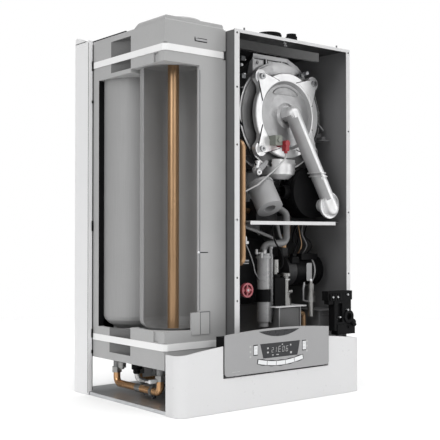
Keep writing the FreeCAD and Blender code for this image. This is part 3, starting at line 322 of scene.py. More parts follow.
def paint_faces(name, look, wanted):
    """Give the faces that the test picks (by centre and normal) another material."""
    mesh = NODES[name].data
    mesh.materials.append(LOOK[look])
    slot = len(mesh.materials) - 1
    for face in mesh.polygons:
        if wanted(face.center, face.normal):
            face.material_index = slot


def faces_tank_axis(centre, normal):
    """True where a face of the front tank looks towards the tank's upright axis."""
    return (centre.x - FRONT_TANK.x) * normal.x + (centre.y - FRONT_TANK.y) * normal.y < -0.01


def from_door_axis(centre):
    return math.hypot(centre.x - DOOR.x, centre.z - DOOR.z)


def looks_forward(normal):
    return normal.y < -0.5


def paint_frame():
    """Pale flanges on the frame's front edge, darker paint inside, painted shade on the left
    panel's face towards the tanks and near black painted shade under the ceiling.
    """
    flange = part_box("frame_left_panel")[0].y + 0.0016
    shelf_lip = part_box("chamber_shelf")[0].y + 0.002
    # Painted shade on the left panel's face towards the tanks.
    paint_faces("frame_left_panel", "tank_side_shade", lambda c, n: n.x < -0.5)
    paint_faces("frame_left_panel", "flange", lambda c, n: c.y < flange and looks_forward(n))
    paint_faces("frame_right_panel", "white", lambda c, n: n.x > 0.5)
    paint_faces("frame_right_panel", "flange", lambda c, n: c.y < flange and looks_forward(n))
    paint_faces("frame_top_panel", "shade_paint", lambda c, n: n.z < -0.5)
    paint_faces("frame_top_panel", "flange", lambda c, n: c.y < flange or n.z > 0.5)
    paint_faces("chamber_shelf", "flange", lambda c, n: c.y < shelf_lip and looks_forward(n))


def paint_tanks():
    """Painted light on the inner wall of the cut tank, black as painted shade on the reveal at
    the window's far edge, and painted shade in the wedge hollows.
    """
    paint_faces("tank_front", "steel_lit_inside", faces_tank_axis)
    window_end = 0.13
    # Painted shade: the reveal at the window's far edge in black for the shadow in the gap.
    paint_faces("tank_insulation_rear", "black",
                lambda c, n: looks_forward(n) and c.y > window_end and c.x < -0.2)
    outer, inner, last = -0.2865, -0.262, 0.09
    hollows = ((0.8185, 0.8985), (0.1165, 0.1815))
    # Painted shade inside the wedge hollows of the rear foam.
    paint_faces("tank_insulation_rear", "foam_hollow_shade",
                lambda c, n: outer < c.x < inner and c.y < last
                and any(low < c.z < high for low, high in hollows))


def paint_burner():
    """Darker alloy as painted shade on the dish and its slope, plain alloy on the drum's front
    hoop, and painted shade on the lower flank of the duct.
    """
    dish = 0.0915
    dish_floor = 0.083
    hoop = 0.1405
    crown = 0.83
    # Painted shade on the sunk dish.
    paint_faces("burner_door", "alloy_sunk_shade", lambda c, n: from_door_axis(c) < dish)
    # Painted shade on the dish's slope.
    paint_faces("burner_door", "alloy_flank_shade",
                lambda c, n: dish_floor < from_door_axis(c) < dish and abs(n.y) < 0.93)
    # The drum's front hoop keeps the plain alloy; the rest of the drum has the painted shade
    # ramp.
    paint_faces("exchanger_drum", "alloy",
                lambda c, n: looks_forward(n) and from_door_axis(c) > hoop and c.z < crown)
    collar, elbow = 0.505, 0.722
    ridge = Vector((0.710, -0.584, 0.394))
    # Painted shade on the duct's faces that turn away from its lit ridge.
    paint_faces("mixture_duct", "alloy_flank_shade",
                lambda c, n: collar < c.z < elbow and n.dot(ridge) < 0.3)


def paint_trap():
    """Dark band round the middle of the condensate trap."""
    band_low, band_high = 0.2399, 0.2721
    paint_faces("condensate_trap", "black", lambda c, n: band_low < c.z < band_high)


dress_nodes()
paint_frame()
paint_tanks()
paint_burner()
paint_trap()


# ---------------------------------------------------------------- mesh helpers for small pieces
def add_piece(name, build, look, body="chassis", bevel=0.0):
    """Turn a bmesh into a named piece that rides with a body; the bevel is in mm."""
    bmesh.ops.remove_doubles(build, verts=build.verts, dist=0.000001)
    bmesh.ops.recalc_face_normals(build, faces=build.faces)
    mesh = bpy.data.meshes.new(name)
    build.to_mesh(mesh)
    build.free()
    piece = bpy.data.objects.new(name, mesh)
    bpy.context.collection.objects.link(piece)
    mesh.materials.append(LOOK[look])
    soften(piece, bevel * MM, angle=35)
    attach(piece, body)
    return piece


def circle(radius, count):
    """Points of a circle about the origin."""
    turns = [2 * math.pi * k / count for k in range(count)]
    return [(radius * math.cos(turn), radius * math.sin(turn)) for turn in turns]


def smooth_path(points, steps=7):
    """Catmull-Rom curve through the points (mm)."""
    points = [Vector(point) for point in points]
    ends = [points[0] * 2 - points[1]] + points + [points[-1] * 2 - points[-2]]
    path = []
    for before, here, there, after in zip(ends, ends[1:], ends[2:], ends[3:]):
        for step in range(steps):
            u = step / steps
            path.append(0.5 * (2 * here + (there - before) * u
                               + (2 * before - 5 * here + 4 * there - after) * u * u
                               + (3 * here - before - 3 * there + after) * u ** 3))
    path.append(points[-1])
    return path


def sweep(build, path, radius, sides=10):
    """Round rod with closed ends along a path (mm)."""
    side = (path[1] - path[0]).orthogonal().normalized()
    rings = []
    for index, point in enumerate(path):
        ahead = path[min(index + 1, len(path) - 1)] - path[max(index - 1, 0)]
        ahead.normalize()
        side = (side - ahead * side.dot(ahead)).normalized()
        up = ahead.cross(side)
        rings.append([build.verts.new((point + side * u + up * v) * MM)
                      for u, v in circle(radius, sides)])
    for one, two in zip(rings, rings[1:]):
        for k in range(sides):
            build.faces.new((one[k], one[(k + 1) % sides], two[(k + 1) % sides], two[k]))
    build.faces.new(rings[0])
    build.faces.new(rings[-1])


def swept(name, path, radius, look, body="chassis", sides=10):
    """Piece made of one round rod along a path."""
    build = bmesh.new()
    sweep(build, path, radius, sides)
    return add_piece(name, build, look, body)


def cable(name, points, radius, look, steps=7):
    """Round cable, tube or hose along a smooth curve through the points."""
    return swept(name, smooth_path(points, steps), radius, look)


def prism(build, outline, plane, low, high):
    """Straight extrusion of an outline (mm) lying in plane XY, XZ or YZ."""
    def corner(u, v, w):
        place = {"XY": (u, v, w), "XZ": (u, w, v), "YZ": (w, u, v)}[plane]
        return build.verts.new(Vector(place) * MM)

    first = [corner(u, v, low) for u, v in outline]
    last = [corner(u, v, high) for u, v in outline]
    build.faces.new(first)
    build.faces.new(list(reversed(last)))
    for k, corner_now in enumerate(first):
        after = (k + 1) % len(outline)
        build.faces.new((corner_now, first[after], last[after], last[k]))


def lathe(build, profile, axis, at, sides):
    """Turned solid: profile is (radius, distance along the axis) in mm."""
    heading = Vector(axis).normalized()
    side = heading.orthogonal().normalized()
    up = heading.cross(side)
    rings = []
    for radius, along in profile:
        middle = Vector(at) + heading * along
        spokes = circle(radius, sides) if radius else [(0, 0)]
        rings.append([build.verts.new((middle + side * u + up * v) * MM) for u, v in spokes])
    for one, two in zip(rings, rings[1:]):
        for k in range(sides):
            after = (k + 1) % sides
            loop = [one[k % len(one)], one[after % len(one)],
                    two[after % len(two)], two[k % len(two)]]
            corners = list(dict.fromkeys(loop))
            if len(corners) > 2:
                build.faces.new(corners)


def turned(name, profile, axis, at, look, sides=28):
    """Turned piece; a profile that starts off the axis is a ring and is closed on itself."""
    if profile[0][0] > 0 and profile[0] != profile[-1]:
        profile = profile + [profile[0]]
    build = bmesh.new()
    lathe(build, profile, axis, at, sides)
    return add_piece(name, build, look)


def shaped(name, parts, look, body="chassis", bevel=0.4):
    """Piece made of several straight extrusions: (outline, plane, low, high)."""
    build = bmesh.new()
    for outline, plane, low, high in parts:
        prism(build, outline, plane, low, high)
    return add_piece(name, build, look, body, bevel)


def rect(u0, u1, v0, v1, cut=1.0):
    """Rectangle with small cut corners."""
    return [(u0 + cut, v0), (u1 - cut, v0), (u1, v0 + cut), (u1, v1 - cut), (u1 - cut, v1),
            (u0 + cut, v1), (u0, v1 - cut), (u0, v0 + cut)]


def upright(outline, face, proud, sunk):
    """Extrusion of an XZ outline that stands proud of a face and is sunk into it."""
    return outline, "XZ", face - proud, face + sunk


# directions of the turned pieces' axes
ACROSS = (1, 0, 0)
BACK = (0, 1, 0)
FORWARD = (0, -1, 0)
UP = (0, 0, 1)


# ---------------------------------------------------------------- casing and tank side
def casing_details():
    """Edge strip, folded tab, black strips as painted shadow along the fold and in the gap at the
    side panel's front edge, and clips round the tank side of the case.
    """
    side = low_mm("side_panel_left").x
    foam_top = high_mm("tank_insulation_rear").z
    seam = low_mm("side_panel_left").y
    shaped("tank_edge_strip",
           [(rect(-286.5, -281, foam_top + 0.2, foam_top + 3.2, 0.8), "XZ", 14, 199)], "black")
    tab = [(176, 911), (176, 917), (184, 921), (224, 931), (233, 930), (235, 924), (235, 911)]
    shaped("corner_tab", [(tab, "YZ", side, side + 12)], "white", bevel=2.0)
    # Painted shadow: a black strip along the fold of the side panel's front edge.
    shaped("fold_shadow_strip",
           [(rect(seam + 1.6, seam + 3.4, 4, 910, 0.4), "YZ", side - 0.2, side + 0.2)],
           "black", bevel=0)
    # Painted shadow: a black strip in the gap between the panel's lip and the foam.
    shaped("gap_shadow_strip", [upright(rect(-289.4, -287.6, 12, 905, 0.4), seam, 0.8, 1)],
           "black", bevel=0)
    heights = ((836, 862), (752, 760), (421, 448), (146, 169), (106, 115))
    for index, (low, high) in enumerate(heights):
        shaped("side_clip_%d" % index, [upright(rect(-291.5, -287.4, low, high, 1), seam, 3, 0)],
               "black", bevel=0.6)


def foam_details():
    """Window edging, witness line and latch outlines on the front foam half."""
    latch_face = low_mm("tank_insulation_front").y
    foam = latch_face + 3
    shaped("window_bead", [upright(rect(-183.6, -181.9, 232, 806, 0.4), foam, 0.6, 1)],
           "alloy_dark", bevel=0)
    shaped("window_lip", [upright(rect(-186.2, -183.9, 190, 812, 0.4), foam, 0.3, 5)],
           "grey_light", bevel=0.4)
    shaped("witness_line", [upright(rect(-181, -158, 368.6, 370.6, 0.4), foam, 0.3, 1.5)],
           "black", bevel=0)
    turned("witness_stud", [(0, 0), (3, 0), (3, 1.4), (2, 2.2), (0, 2.2)], FORWARD,
           (-186, foam + 0.5, 370), "key", sides=16)
    outlines = (rect(-197, -161, 873.4, 875.2, 0.4), rect(-198.5, -196.6, 873.4, 884, 0.4),
                rect(-190, -161, 881.2, 882.4, 0.3))
    shaped("lid_latch", [upright(outline, foam, 0.4, 1) for outline in outlines],
           "black", bevel=0)
    shaped("lid_latch_face", [upright(rect(-195.5, -162, 875.6, 880.8, 0.6), foam, 1.2, 3.5)],
           "grey_light", bevel=0.5)
    shaped("foot_latch_edge", [upright(rect(-155.4, -153.9, 175, 228, 0.4), latch_face, 0.4, 4),
                               upright(rect(-183, -154, 226.8, 228.2, 0.4), latch_face, 0.4, 4),
                               upright(rect(-184, -182.6, 175, 228, 0.4), latch_face, 0.4, 1.5)],
           "alloy_dark", bevel=0)


def under_tank_details():
    """Drain boss and its elbow, stay, tap and sleeves on the pipes below the tanks."""
    link_x = -230
    link_z = 28
    turned("drain_boss", [(0, 0), (7, 0), (9, 3), (9, 10), (13, 12), (13, 24), (9, 26), (9, 34),
                          (0, 34)], UP, (link_x, 46, 62), "black")
    cable("drain_elbow", [(-230, 46, 66), (-226, 44, 50), (-214, 34, 42), (-196, 20, 40),
                          (-150, 10, 42), (-104, 10, 42)], 6.5, "silver_fitting")
    shaped("link_stay", [(rect(-24, 20, 12, 30, 2), "YZ", -226, -222),
                         (rect(-20, -14, 8, 14, 1), "YZ", -228, -216)], "alloy_dark", bevel=0.8)
    shaped("white_tap", [(rect(-62, -50, 52, 62, 3), "YZ", -262, -242)], "key", bevel=1.5)
    turned("link_sleeve", [(9.2, 0), (10.4, 1), (10.4, 20), (9.2, 21)], BACK,
           (link_x, 24, link_z), "brass")
    turned("link_nut", [(9.2, 0), (12.5, 1), (12.5, 10), (9.2, 11)], BACK,
           (link_x, -30, link_z), "brass", sides=6)


# ---------------------------------------------------------------- burner side
def clip_details():
    """Bent wire clip on the ceiling and the screws and bracket at the door's upper right."""
    wire = [(-8, 0), (-2, 0), (2, -6), (8, -6), (3, -13), (8, -13), (8, -16), (-3, -16),
            (1, -9), (-6, -9), (-2, -3), (-8, -3)]
    wire = [(u + 89, v + 914.5) for u, v in reversed(wire)]
    shaped("ceiling_clip", [(wire, "XZ", -160, -158.5)], "white")
    for index, (x, z, r, look) in enumerate(((225, 852, 4.6, "key"), (206, 843, 4.0, "screw"))):
        turned("ear_screw_%d" % index, [(0, 0), (r * 0.5, 0), (r * 0.55, 1.5), (r, 1.5), (r, 5),
                                        (r * 0.7, 6), (r * 0.7, 30), (0, 30)], BACK,
               (x, -106, z), look)
    bracket = [(196, 838), (202, 836), (232, 850), (234, 858), (228, 860), (198, 848)]
    shaped("ear_bracket", [(bracket, "XZ", -100, -94)], "alloy_dark", bevel=0.6)


def crown_details():
    """Seams and screws on the squared crown of the exchanger drum."""
    front = -78
    for index, (x, top) in enumerate(((90, 884), (98.5, 884), (146, 884), (155, 884),
                                      (192, 868))):
        shaped("crown_line_%d" % index,
               [upright(rect(x, x + 1.6, 838, top, 0.4), front, 3.6, 1)],
               "black_gloss", bevel=0)
    slope = [(170, 874.6), (205, 857.6), (205, 859.4), (170, 876.2)]
    shaped("crown_seam", [upright(rect(56, 170, 874.6, 876.2, 0.4), front, 1.2, 1),
                          upright(slope, front, 1.2, 1)], "black_gloss", bevel=0)
    for index, (x, z) in enumerate(((66, 866), (118, 868), (178, 858))):
        turned("crown_screw_%d" % index, [(0, 0), (3.6, 0), (4.4, 1), (4.4, 4), (0, 4)], BACK,
               (x, front - 2.5, z), "screw", sides=18)


def wall_details():
    """Bracket, return spring and post between the drum and the right wall."""
    wall = high_mm("frame_right_panel").x - 14.2
    shaped("wall_bracket", [(rect(259, wall, 668, 671, 0.5), "XZ", -128, -84),
                            ([(262, 671), (wall, 671), (wall, 694), (268, 686)], "XZ", -96, -94),
                            (rect(266, 276, 672, 680, 1), "XZ", -122, -97)],
           "alloy_mid", bevel=0.6)
    points = 90
    turn_step = 0.72
    coil_radius = 3.4
    coil = []
    for k in range(points):
        turn = k * turn_step
        along = k / (points - 1)
        coil.append(Vector((262 + 22 * along, -104 + coil_radius * math.cos(turn),
                            716 - 16 * along + coil_radius * math.sin(turn))))
    swept("return_spring", coil, 0.9, "screw", sides=6)
    shaped("spring_post", [(rect(258, 263, 712, 748, 1), "XZ", -105, -84),
                           (rect(258, 268, 744, 750, 1), "XZ", -108, -99)],
           "alloy_mid", bevel=0.5)


def door_details():
    """Blank oval on the dish, and the beads that run from the ears to the dish."""
    middle_x = DOOR.x / MM
    middle_z = DOOR.z / MM
    half_width = 44
    half_height = 10
    sag = 0.0042
    floor = -103.6
    oval = []
    for u, v in circle(1, 40):
        u *= half_width
        oval.append(Vector((middle_x + u, floor, middle_z + 66 + v * half_height - sag * u * u)))
    # The oval takes the dish's painted shade tone.
    swept("dish_oval", oval + [oval[0]], 1.15, "alloy_sunk_shade", sides=8)

    rim = -111.2
    for i, k in ((-1, -1), (-1, 1), (1, -1), (1, 1)):
        turn = math.atan2(k, i)
        for side in (-1, 1):
            ear = Vector((middle_x + 94 * i + 15.5 * math.cos(turn + side * 1.7), rim,
                          middle_z + 94 * k + 15.5 * math.sin(turn + side * 1.7)))
            foot = Vector((middle_x + 95 * math.cos(turn + side * 0.455), rim + 0.2,
                           middle_z + 95 * math.sin(turn + side * 0.455)))
            bow = (ear + foot) / 2
            bow.y = rim - 0.1
            swept("door_bead_%d_%d_%d" % (i + 1, k + 1, side + 1), [ear, bow, foot], 1.3,
                  "black_gloss", sides=6)


def wiring_details():
    """Dark plate with tags and looms left of the drum, and the sensor below it."""
    plate = -84
    shaped("flue_sensor_plug", [(rect(-70, -52, 838, 862, 2), "XZ", -96, plate),
                                (rect(-66, -56, 862, 872, 1.5), "XZ", -94, -86)],
           "black", bevel=1)
    outline = [(-89.5, 775), (2, 775), (26, 830), (42, 890), (-89.5, 890)]
    shaped("wiring_plate", [(outline, "XZ", plate, plate + 3)], "black", bevel=0.5)
    dice = random.Random(5)
    for index in range(16):
        x = dice.uniform(-58, 14)
        z = dice.uniform(770, 878)
        wide = dice.uniform(1.6, 3.6)
        look = ("key", "grey_light", "alloy", "key")[index % 4]
        shaped("wiring_tag_%d" % index,
               [upright(rect(x - wide, x + wide, z - 1.6, z + 1.6, 0.4), plate, 8, 0.5)],
               look, bevel=0.3)
    blocks = ((-2, 848), (-22, 866), (8, 822), (-30, 806), (6, 868))
    for index, (x, z) in enumerate(blocks):
        look = "black" if index % 2 else "alloy_dark"
        shaped("wiring_block_%d" % index,
               [upright(rect(x - 7, x + 7, z - 6, z + 6, 1.5), plate, 8, 4)], look, bevel=0.8)
    cable("loom_upper", [(-90, -96, 812), (-40, -96, 850), (-4, -94, 842), (30, -90, 868),
                         (56, -72, 896), (60, -70, 904)], 3.2, "black")
    cable("loom_side", [(-90, -88, 900), (-60, -92, 884), (-24, -92, 836), (-14, -92, 776),
                        (-12, -88, 724), (10, -82, 694)], 3.0, "black")
    turned("wiring_stud", [(0, 0), (3.4, 0), (3.4, 2), (0, 3)], FORWARD, (-4, -97, 849), "key")
    cable("sensor_lead", [(30, -116, 588), (12, -126, 600), (-8, -120, 640), (-30, -110, 700),
                          (-42, -98, 752), (-44, -83, 786)], 1.6, "black")
    turned("sensor_ring", [(3.2, 0), (6.4, 0), (7.2, 1.2), (6.4, 2.4), (3.2, 2.4)],
           (-0.35, -0.93, 0), (20, -137, 571), "alloy")
    clip = [(16, 566), (24, 560), (34, 572), (52, 590), (58, 602), (48, 604), (30, 590),
            (18, 580)]
    shaped("sensor_clip", [(clip, "XZ", -132, -127)], "alloy_mid", bevel=1.2)


# ---------------------------------------------------------------- lower compartment
def bracket_details():
    """Covers, trays, thin tubes and brackets under the shelf."""
    wall = high_mm("frame_right_panel").x - 14.4
    stack_top = high_mm("exchanger_end_plates").z
    shaped("exchanger_cap", [(rect(62, 172, -155, -98, 2), "XY", stack_top + 0.4,
                              stack_top + 3.4)], "flange", bevel=0.6)
    shaped("wall_tray", [(rect(222, wall, 108, 208, 2), "XZ", -150, -64),
                         (rect(218, wall, 208, 211, 1), "XZ", -156, -64),
                         (rect(230, wall, 196, 198, 0.6), "XZ", -151.5, -150)],
           "inner", bevel=1)
    cable("curl_tube", [(-6, -104, 439), (4, -104, 432), (30, -106, 424), (66, -110, 412),
                        (88, -114, 402), (100, -116, 388), (114, -116, 384), (120, -116, 394),
                        (112, -114, 412), (106, -112, 439)], 4.2, "grey")
    cable("link_rod", [(-22, -134, 388), (-8, -132, 366), (6, -130, 338), (14, -128, 316),
                       (34, -122, 296)], 1.5, "alloy_mid", steps=3)
    shaped("white_connector", [(rect(-36, -27, 392, 408, 1.5), "XZ", -144, -136),
                               (rect(-30, -21, 389, 396, 1), "XZ", -144, -136),
                               (rect(-32.5, -30.5, 407, 438, 0.5), "XZ", -141, -139)],
           "key", bevel=0.8)
    shaped("small_bracket", [(rect(-46, -22, 345, 349.5, 0.8), "XZ", -146, -132),
                             (rect(-46, -22, 339, 342, 0.8), "XZ", -146, -132),
                             (rect(-46, -43, 340, 348, 0.8), "XZ", -146, -132),
                             (rect(-90, -44, 343, 346, 0.8), "XZ", -141, -137)],
           "alloy_mid", bevel=0.6)


def trap_details():
    """Collar, lugs, port and hose clip at the top of the condensate trap."""
    trap_x = 49.5
    trap_y = -120
    turned("trap_collar", [(18.3, 0), (19.6, 0), (19.6, 5), (18.3, 6)], UP,
           (trap_x, trap_y, 352), "grey_light")
    shaped("trap_cap_lugs", [(rect(26, 31, 352, 366, 1), "XZ", -139, -134),
                             (rect(16, 21, 362, 375, 1), "XZ", -131, -126),
                             (rect(36, 45, 364, 372, 1), "XZ", -137, -130),
                             (rect(21, 44, 364, 367, 1), "XZ", -134, -128)],
           "lead", bevel=0.8)
    turned("trap_port", [(0, 0), (6, 0), (6, 4), (4.6, 5), (4.6, 19), (6.2, 20), (6.2, 25),
                         (3.4, 25), (3.4, 10), (0, 10)], UP, (62, -134, 356), "alloy_mid")
    turned("hose_clip", [(9.2, 0), (10.6, 0), (10.6, 7), (9.2, 7)], UP,
           (trap_x, trap_y, 367), "screw")


def valve_details():
    """Arm, its tube and ball on the vent, and the ring on the tee's nut."""
    vent_y = -148
    arm = [(164, 238), (168, 238), (168, 268), (172, 282), (170, 288), (166, 286), (163, 270)]
    shaped("vent_arm", [(arm, "XZ", vent_y - 1, vent_y + 2)], "alloy_mid", bevel=0.8)
    cable("vent_arm_tube", [(167, vent_y, 240), (178, vent_y, 236), (186, vent_y, 238)], 2.2,
          "alloy_mid")
    turned("vent_ball", [(0, 0), (3.2, 1), (4.6, 4), (3.2, 7.4), (0, 8.6)], UP,
           (193, vent_y, 287), "key")
    turned("tee_nut_ring", [(9, 0), (13, 0), (13, 3), (9, 3)], UP, (127, -120, 293),
           "silver_fitting")


def pump_details():
    """End ring, blank label, plug and leads of the pump, and the gas hose."""
    turned("pump_ring", [(42.2, 0), (43.6, 0.6), (43.6, 3.4), (42.2, 4)], ACROSS,
           (232, -80, 315), "grey_light", sides=48)
    label_x = 213
    label_z = 312
    squeeze = 0.55
    label = [(label_x + u * squeeze, label_z + v) for u, v in rect(-18, 18, -24, 24, 3)]
    shaped("pump_label", [(label, "XZ", -122, -121.2)], "grey_light", bevel=0.2)
    shaped("pump_plug", [(rect(150, 176, 336, 354, 2), "XZ", -122, -104),
                         (rect(156, 170, 354, 362, 2), "XZ", -118, -108)], "black", bevel=1.0)
    cable("pump_cable", [(163, -113, 361), (166, -118, 380), (150, -126, 396), (160, -120, 424),
                         (176, -114, 439)], 2.6, "black")
    cable("valve_cable", [(92, -120, 309), (96, -124, 320), (106, -130, 330), (104, -134, 350),
                          (90, -140, 372), (68, -146, 392), (56, -150, 414), (54, -150, 439)],
          2.2, "black")
    looks = ("black", "copper_dull", "grey", "black")
    for index, (x, look) in enumerate(zip((190, 204, 220, 236), looks)):
        cable("pump_lead_%d" % index, [(x, -82, 354), (x + 3 + 4 * index, -94, 382),
                                       (x + 12 - 7 * index, -90, 412), (x + 5, -84, 439)],
              1.7, look)
    cable("gas_hose", [(142, -46, 474), (168, -52, 470), (178, -66, 486), (176, -78, 508)],
          7.5, "black")


def cable_block_details():
    """Strain relief cones, terminals and clamp screws on the cable block."""
    front = low_mm("cable_block").y
    for index, (x, z, r) in enumerate(((283, 182, 11), (268, 176, 9))):
        turned("cable_cone_%d" % index, [(0, 0), (r * 0.45, 0), (r * 0.5, 4), (r, 12), (r, 20),
                                         (r * 0.8, 21), (r * 0.8, 24), (0, 24)],
               (0.25, 1, 0.35), (x, front - 6 + index * 3, z - 8), "black")
    pitch = 9
    for index in range(5):
        left = 196 + index * pitch
        shaped("terminal_%d" % index, [upright(rect(left, left + 6, 240, 258, 1), front, 1.4, 1)],
               "black_gloss", bevel=0.5)
    heads = ((206, 249), (224, 249), (262, 254), (232, 196), (262, 214))
    for index, (x, z) in enumerate(heads):
        turned("clamp_screw_%d" % index, [(0, 0), (2.6, 0), (3.0, 0.6), (3.0, 8), (0, 8)], BACK,
               (x, front - 2.5, z), "screw", sides=14)


# ---------------------------------------------------------------- control panel
def key_outline(node):
    """Front outline of a key in the XZ plane (mm), ordered round its middle, and the middle."""
    vertices = NODES[node].data.vertices
    front = min(vertex.co.y for vertex in vertices)
    points = {(round(vertex.co.x / MM, 2), round(vertex.co.z / MM, 2)) for vertex in vertices
              if vertex.co.y < front + 0.0001}
    mid_x = sum(x for x, z in points) / len(points)
    mid_z = sum(z for x, z in points) / len(points)
    ordered = sorted(points, key=lambda p: math.atan2(p[1] - mid_z, p[0] - mid_x))
    return ordered, mid_x, mid_z


def grown(points, mid_x, mid_z, amount):
    """The outline moved outwards from its middle."""
    moved = []
    for x, z in points:
        reach = math.hypot(x - mid_x, z - mid_z)
        moved.append((x + (x - mid_x) / reach * amount, z + (z - mid_z) / reach * amount))
    return moved


def key_surround(key, cover):
    """Dark frame round a key, standing just proud of the cover."""
    outline = key_outline(key)
    inner = grown(*outline, 0.2)
    outer = grown(*outline, 2.6)
    build = bmesh.new()
    near_in, near_out, far_in, far_out = [
        [build.verts.new(Vector((x, y, z)) * MM) for x, z in loop]
        for y in (cover - 0.35, cover + 0.1) for loop in (inner, outer)]
    for k in range(len(inner)):
        n = (k + 1) % len(inner)
        build.faces.new((near_in[k], near_in[n], near_out[n], near_out[k]))
        build.faces.new((far_in[k], far_out[k], far_out[n], far_in[n]))
        build.faces.new((near_out[k], near_out[n], far_out[n], far_out[k]))
        build.faces.new((near_in[k], far_in[k], far_in[n], near_in[n]))
    add_piece(key + "_surround", build, "black", "control_panel")


def digit(build, window, left, bottom, width, height, segments):
    """Leaning seven segment figure made of thin bars just proud of the window."""
    lean = 0.12
    gap = 0.2
    thick = width * 0.2
    half = height / 2
    bars = {"a": (0, height - thick, width, thick), "g": (0, half - thick / 2, width, thick),
            "d": (0, 0, width, thick), "f": (0, half, thick, half),
            "b": (width - thick, half, thick, half), "e": (0, 0, thick, half),
            "c": (width - thick, 0, thick, half)}
    for segment in segments:
        x, z, wide, tall = bars[segment]
        corners = [(x + gap, z + gap), (x + wide - gap, z + gap),
                   (x + wide - gap, z + tall - gap), (x + gap, z + tall - gap)]
        slanted = [(left + u + v * lean, bottom + v) for u, v in corners]
        prism(build, slanted, "XZ", window - 0.22, window - 0.02)


def display_details():
    """Generic figures and marks shown on the display."""
    window = low_mm("display_window").y
    build = bmesh.new()
    for left, width, bottom, height, segments in (
            (-26, 6, 127, 12, "abged"), (-16, 6, 127, 12, "bc"), (-4, 7.5, 126, 15, "afged"),
            (9, 7, 126, 14, "abcdef"), (21, 7, 126, 14, "acdefg")):
        digit(build, window, left, bottom, width, height, segments)
    for x, z, wide, tall in ((-40, 136, 5, 4), (-40, 126, 5, 4), (36, 139, 4, 4),
                             (36, 120, 6, 5), (-24, 119.5, 5, 2.4), (8, 143, 4, 2.6),
                             (-10, 119.5, 8, 2)):
        prism(build, rect(x, x + wide, z, z + tall, 0.6), "XZ", window - 0.22, window - 0.02)
    add_piece("display_figures", build, "lead", "control_panel")


def panel_marks(cover):
    """Small blank symbols beside the keys and two short lines at the lower left."""
    marks = [rect(x - 2.6, x + 2.6, z - 2.4, z + 2.4, 1.2)
             for x in (-93.8, 93) for z in (146, 134, 122)]
    marks += [rect(-150, -138, 90.4, 91.4, 0.3), rect(-135, -126, 90.4, 91.4, 0.3)]
    shaped("printed_symbols", [upright(mark, cover, 0.2, 0.1) for mark in marks], "lead",
           "control_panel", bevel=0)


def key_rings():
    """Two raised rings on each side key."""
    face = low_mm("button_left").y
    radius = 2.6
    places = ((-77.5, 142), (-77.5, 131), (83.5, 142), (83.5, 131))
    for index, (x, z) in enumerate(places):
        ring = [Vector((x + u, face + 0.06, z + v)) for u, v in circle(radius, 10)]
        body = "button_left_key" if x < 0 else "button_right_key"
        swept("key_ring_%d" % index, ring + [ring[0]], 0.28, "grey", body, sides=5)


def control_panel_details():
    """Everything that sits on the face of the control panel."""
    cover = low_mm("control_cover").y
    for key in KEYS:
        key_surround(key, cover)
    display_details()
    panel_marks(cover)
    key_rings()


casing_details()
foam_details()
clip_details()
crown_details()
wall_details()
door_details()
wiring_details()
bracket_details()
trap_details()
valve_details()
pump_details()
cable_block_details()
under_tank_details()
control_panel_details()


# ---------------------------------------------------------------- light, floor, camera
def make_floor():
    """Round pale floor, just clear of the object's feet."""
    mesh = bpy.data.meshes.new("studio_floor")
    build = bmesh.new()
    bmesh.ops.create_circle(build, cap_ends=True, segments=96, radius=2.2)
    build.to_mesh(mesh)
    build.free()
    floor = bpy.data.objects.new("studio_floor", mesh)
    floor.location.z = -0.0006
    bpy.context.collection.objects.link(floor)
    pale = Shader("studio_floor", (0.93, 0.93, 0.93), 0.9, specular=0.1)
    pale.vary_colour(pale.noise(2, 2), (0.945, 0.945, 0.945), (0.955, 0.955, 0.955))
    mesh.materials.append(pale.material)


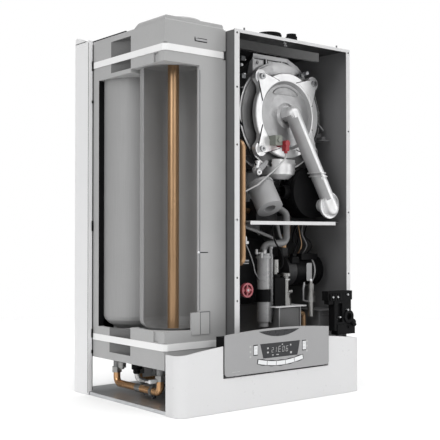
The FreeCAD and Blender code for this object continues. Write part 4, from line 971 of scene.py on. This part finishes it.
def area_light(name, at, target, size, power):
    """Soft rectangular light aimed at a point."""
    data = bpy.data.lights.new(name, "AREA")
    data.shape = "RECTANGLE"
    data.size, data.size_y = size
    data.energy = power
    light = bpy.data.objects.new(name, data)
    light.location = at
    light.rotation_mode = "QUATERNION"
    light.rotation_quaternion = (Vector(target) - Vector(at)).to_track_quat("-Z", "Y")
    bpy.context.collection.objects.link(light)


def make_world(light_level, backdrop):
    """Even white surroundings: one strength for the light they give, one for how they look."""
    world = bpy.data.worlds.new("studio")
    bpy.context.scene.world = world
    world.use_nodes = True
    tree = world.node_tree
    lit = tree.nodes["Background"]
    lit.inputs["Color"].default_value = (1, 1, 1, 1)
    lit.inputs["Strength"].default_value = light_level
    seen = tree.nodes.new("ShaderNodeBackground")
    seen.inputs["Color"].default_value = (1, 1, 1, 1)
    seen.inputs["Strength"].default_value = backdrop
    path = tree.nodes.new("ShaderNodeLightPath")
    mix = tree.nodes.new("ShaderNodeMixShader")
    tree.links.new(path.outputs["Is Camera Ray"], mix.inputs["Fac"])
    tree.links.new(lit.outputs["Background"], mix.inputs[1])
    tree.links.new(seen.outputs["Background"], mix.inputs[2])
    tree.links.new(mix.outputs["Shader"], tree.nodes["World Output"].inputs["Surface"])


def make_camera():
    """Camera at the front left, a little below half height and looking slightly up."""
    data = bpy.data.cameras.new("camera")
    data.sensor_width = 36
    data.lens = 72.5
    camera = bpy.data.objects.new("camera", data)
    camera.location = (-1.475, -1.8255, 0.412)
    turn = math.radians(38.99)
    pitch = math.radians(0.95)
    way = Vector((math.sin(turn) * math.cos(pitch), math.cos(turn) * math.cos(pitch),
                  math.sin(pitch)))
    camera.rotation_mode = "QUATERNION"
    camera.rotation_quaternion = way.to_track_quat("-Z", "Y")
    bpy.context.collection.objects.link(camera)
    bpy.context.scene.camera = camera


bpy.context.scene.view_settings.view_transform = "Standard"
make_floor()
make_world(light_level=0.17, backdrop=1.0)
area_light("overhead", (0.3, 0.0, 4.6), (0.3, 0.01, 0), (9.0, 9.0), 430)
area_light("key", (-3.4, -1.0, 2.0), (0, 0, 0.5), (1.8, 2.2), 56)
area_light("front", (-0.6, -3.6, 1.5), (0.1, 0, 0.5), (2.2, 1.8), 27)
area_light("right_card", (3.0, -3.2, 1.0), (0.1, 0, 0.6), (2.2, 2.4), 36)
make_camera()
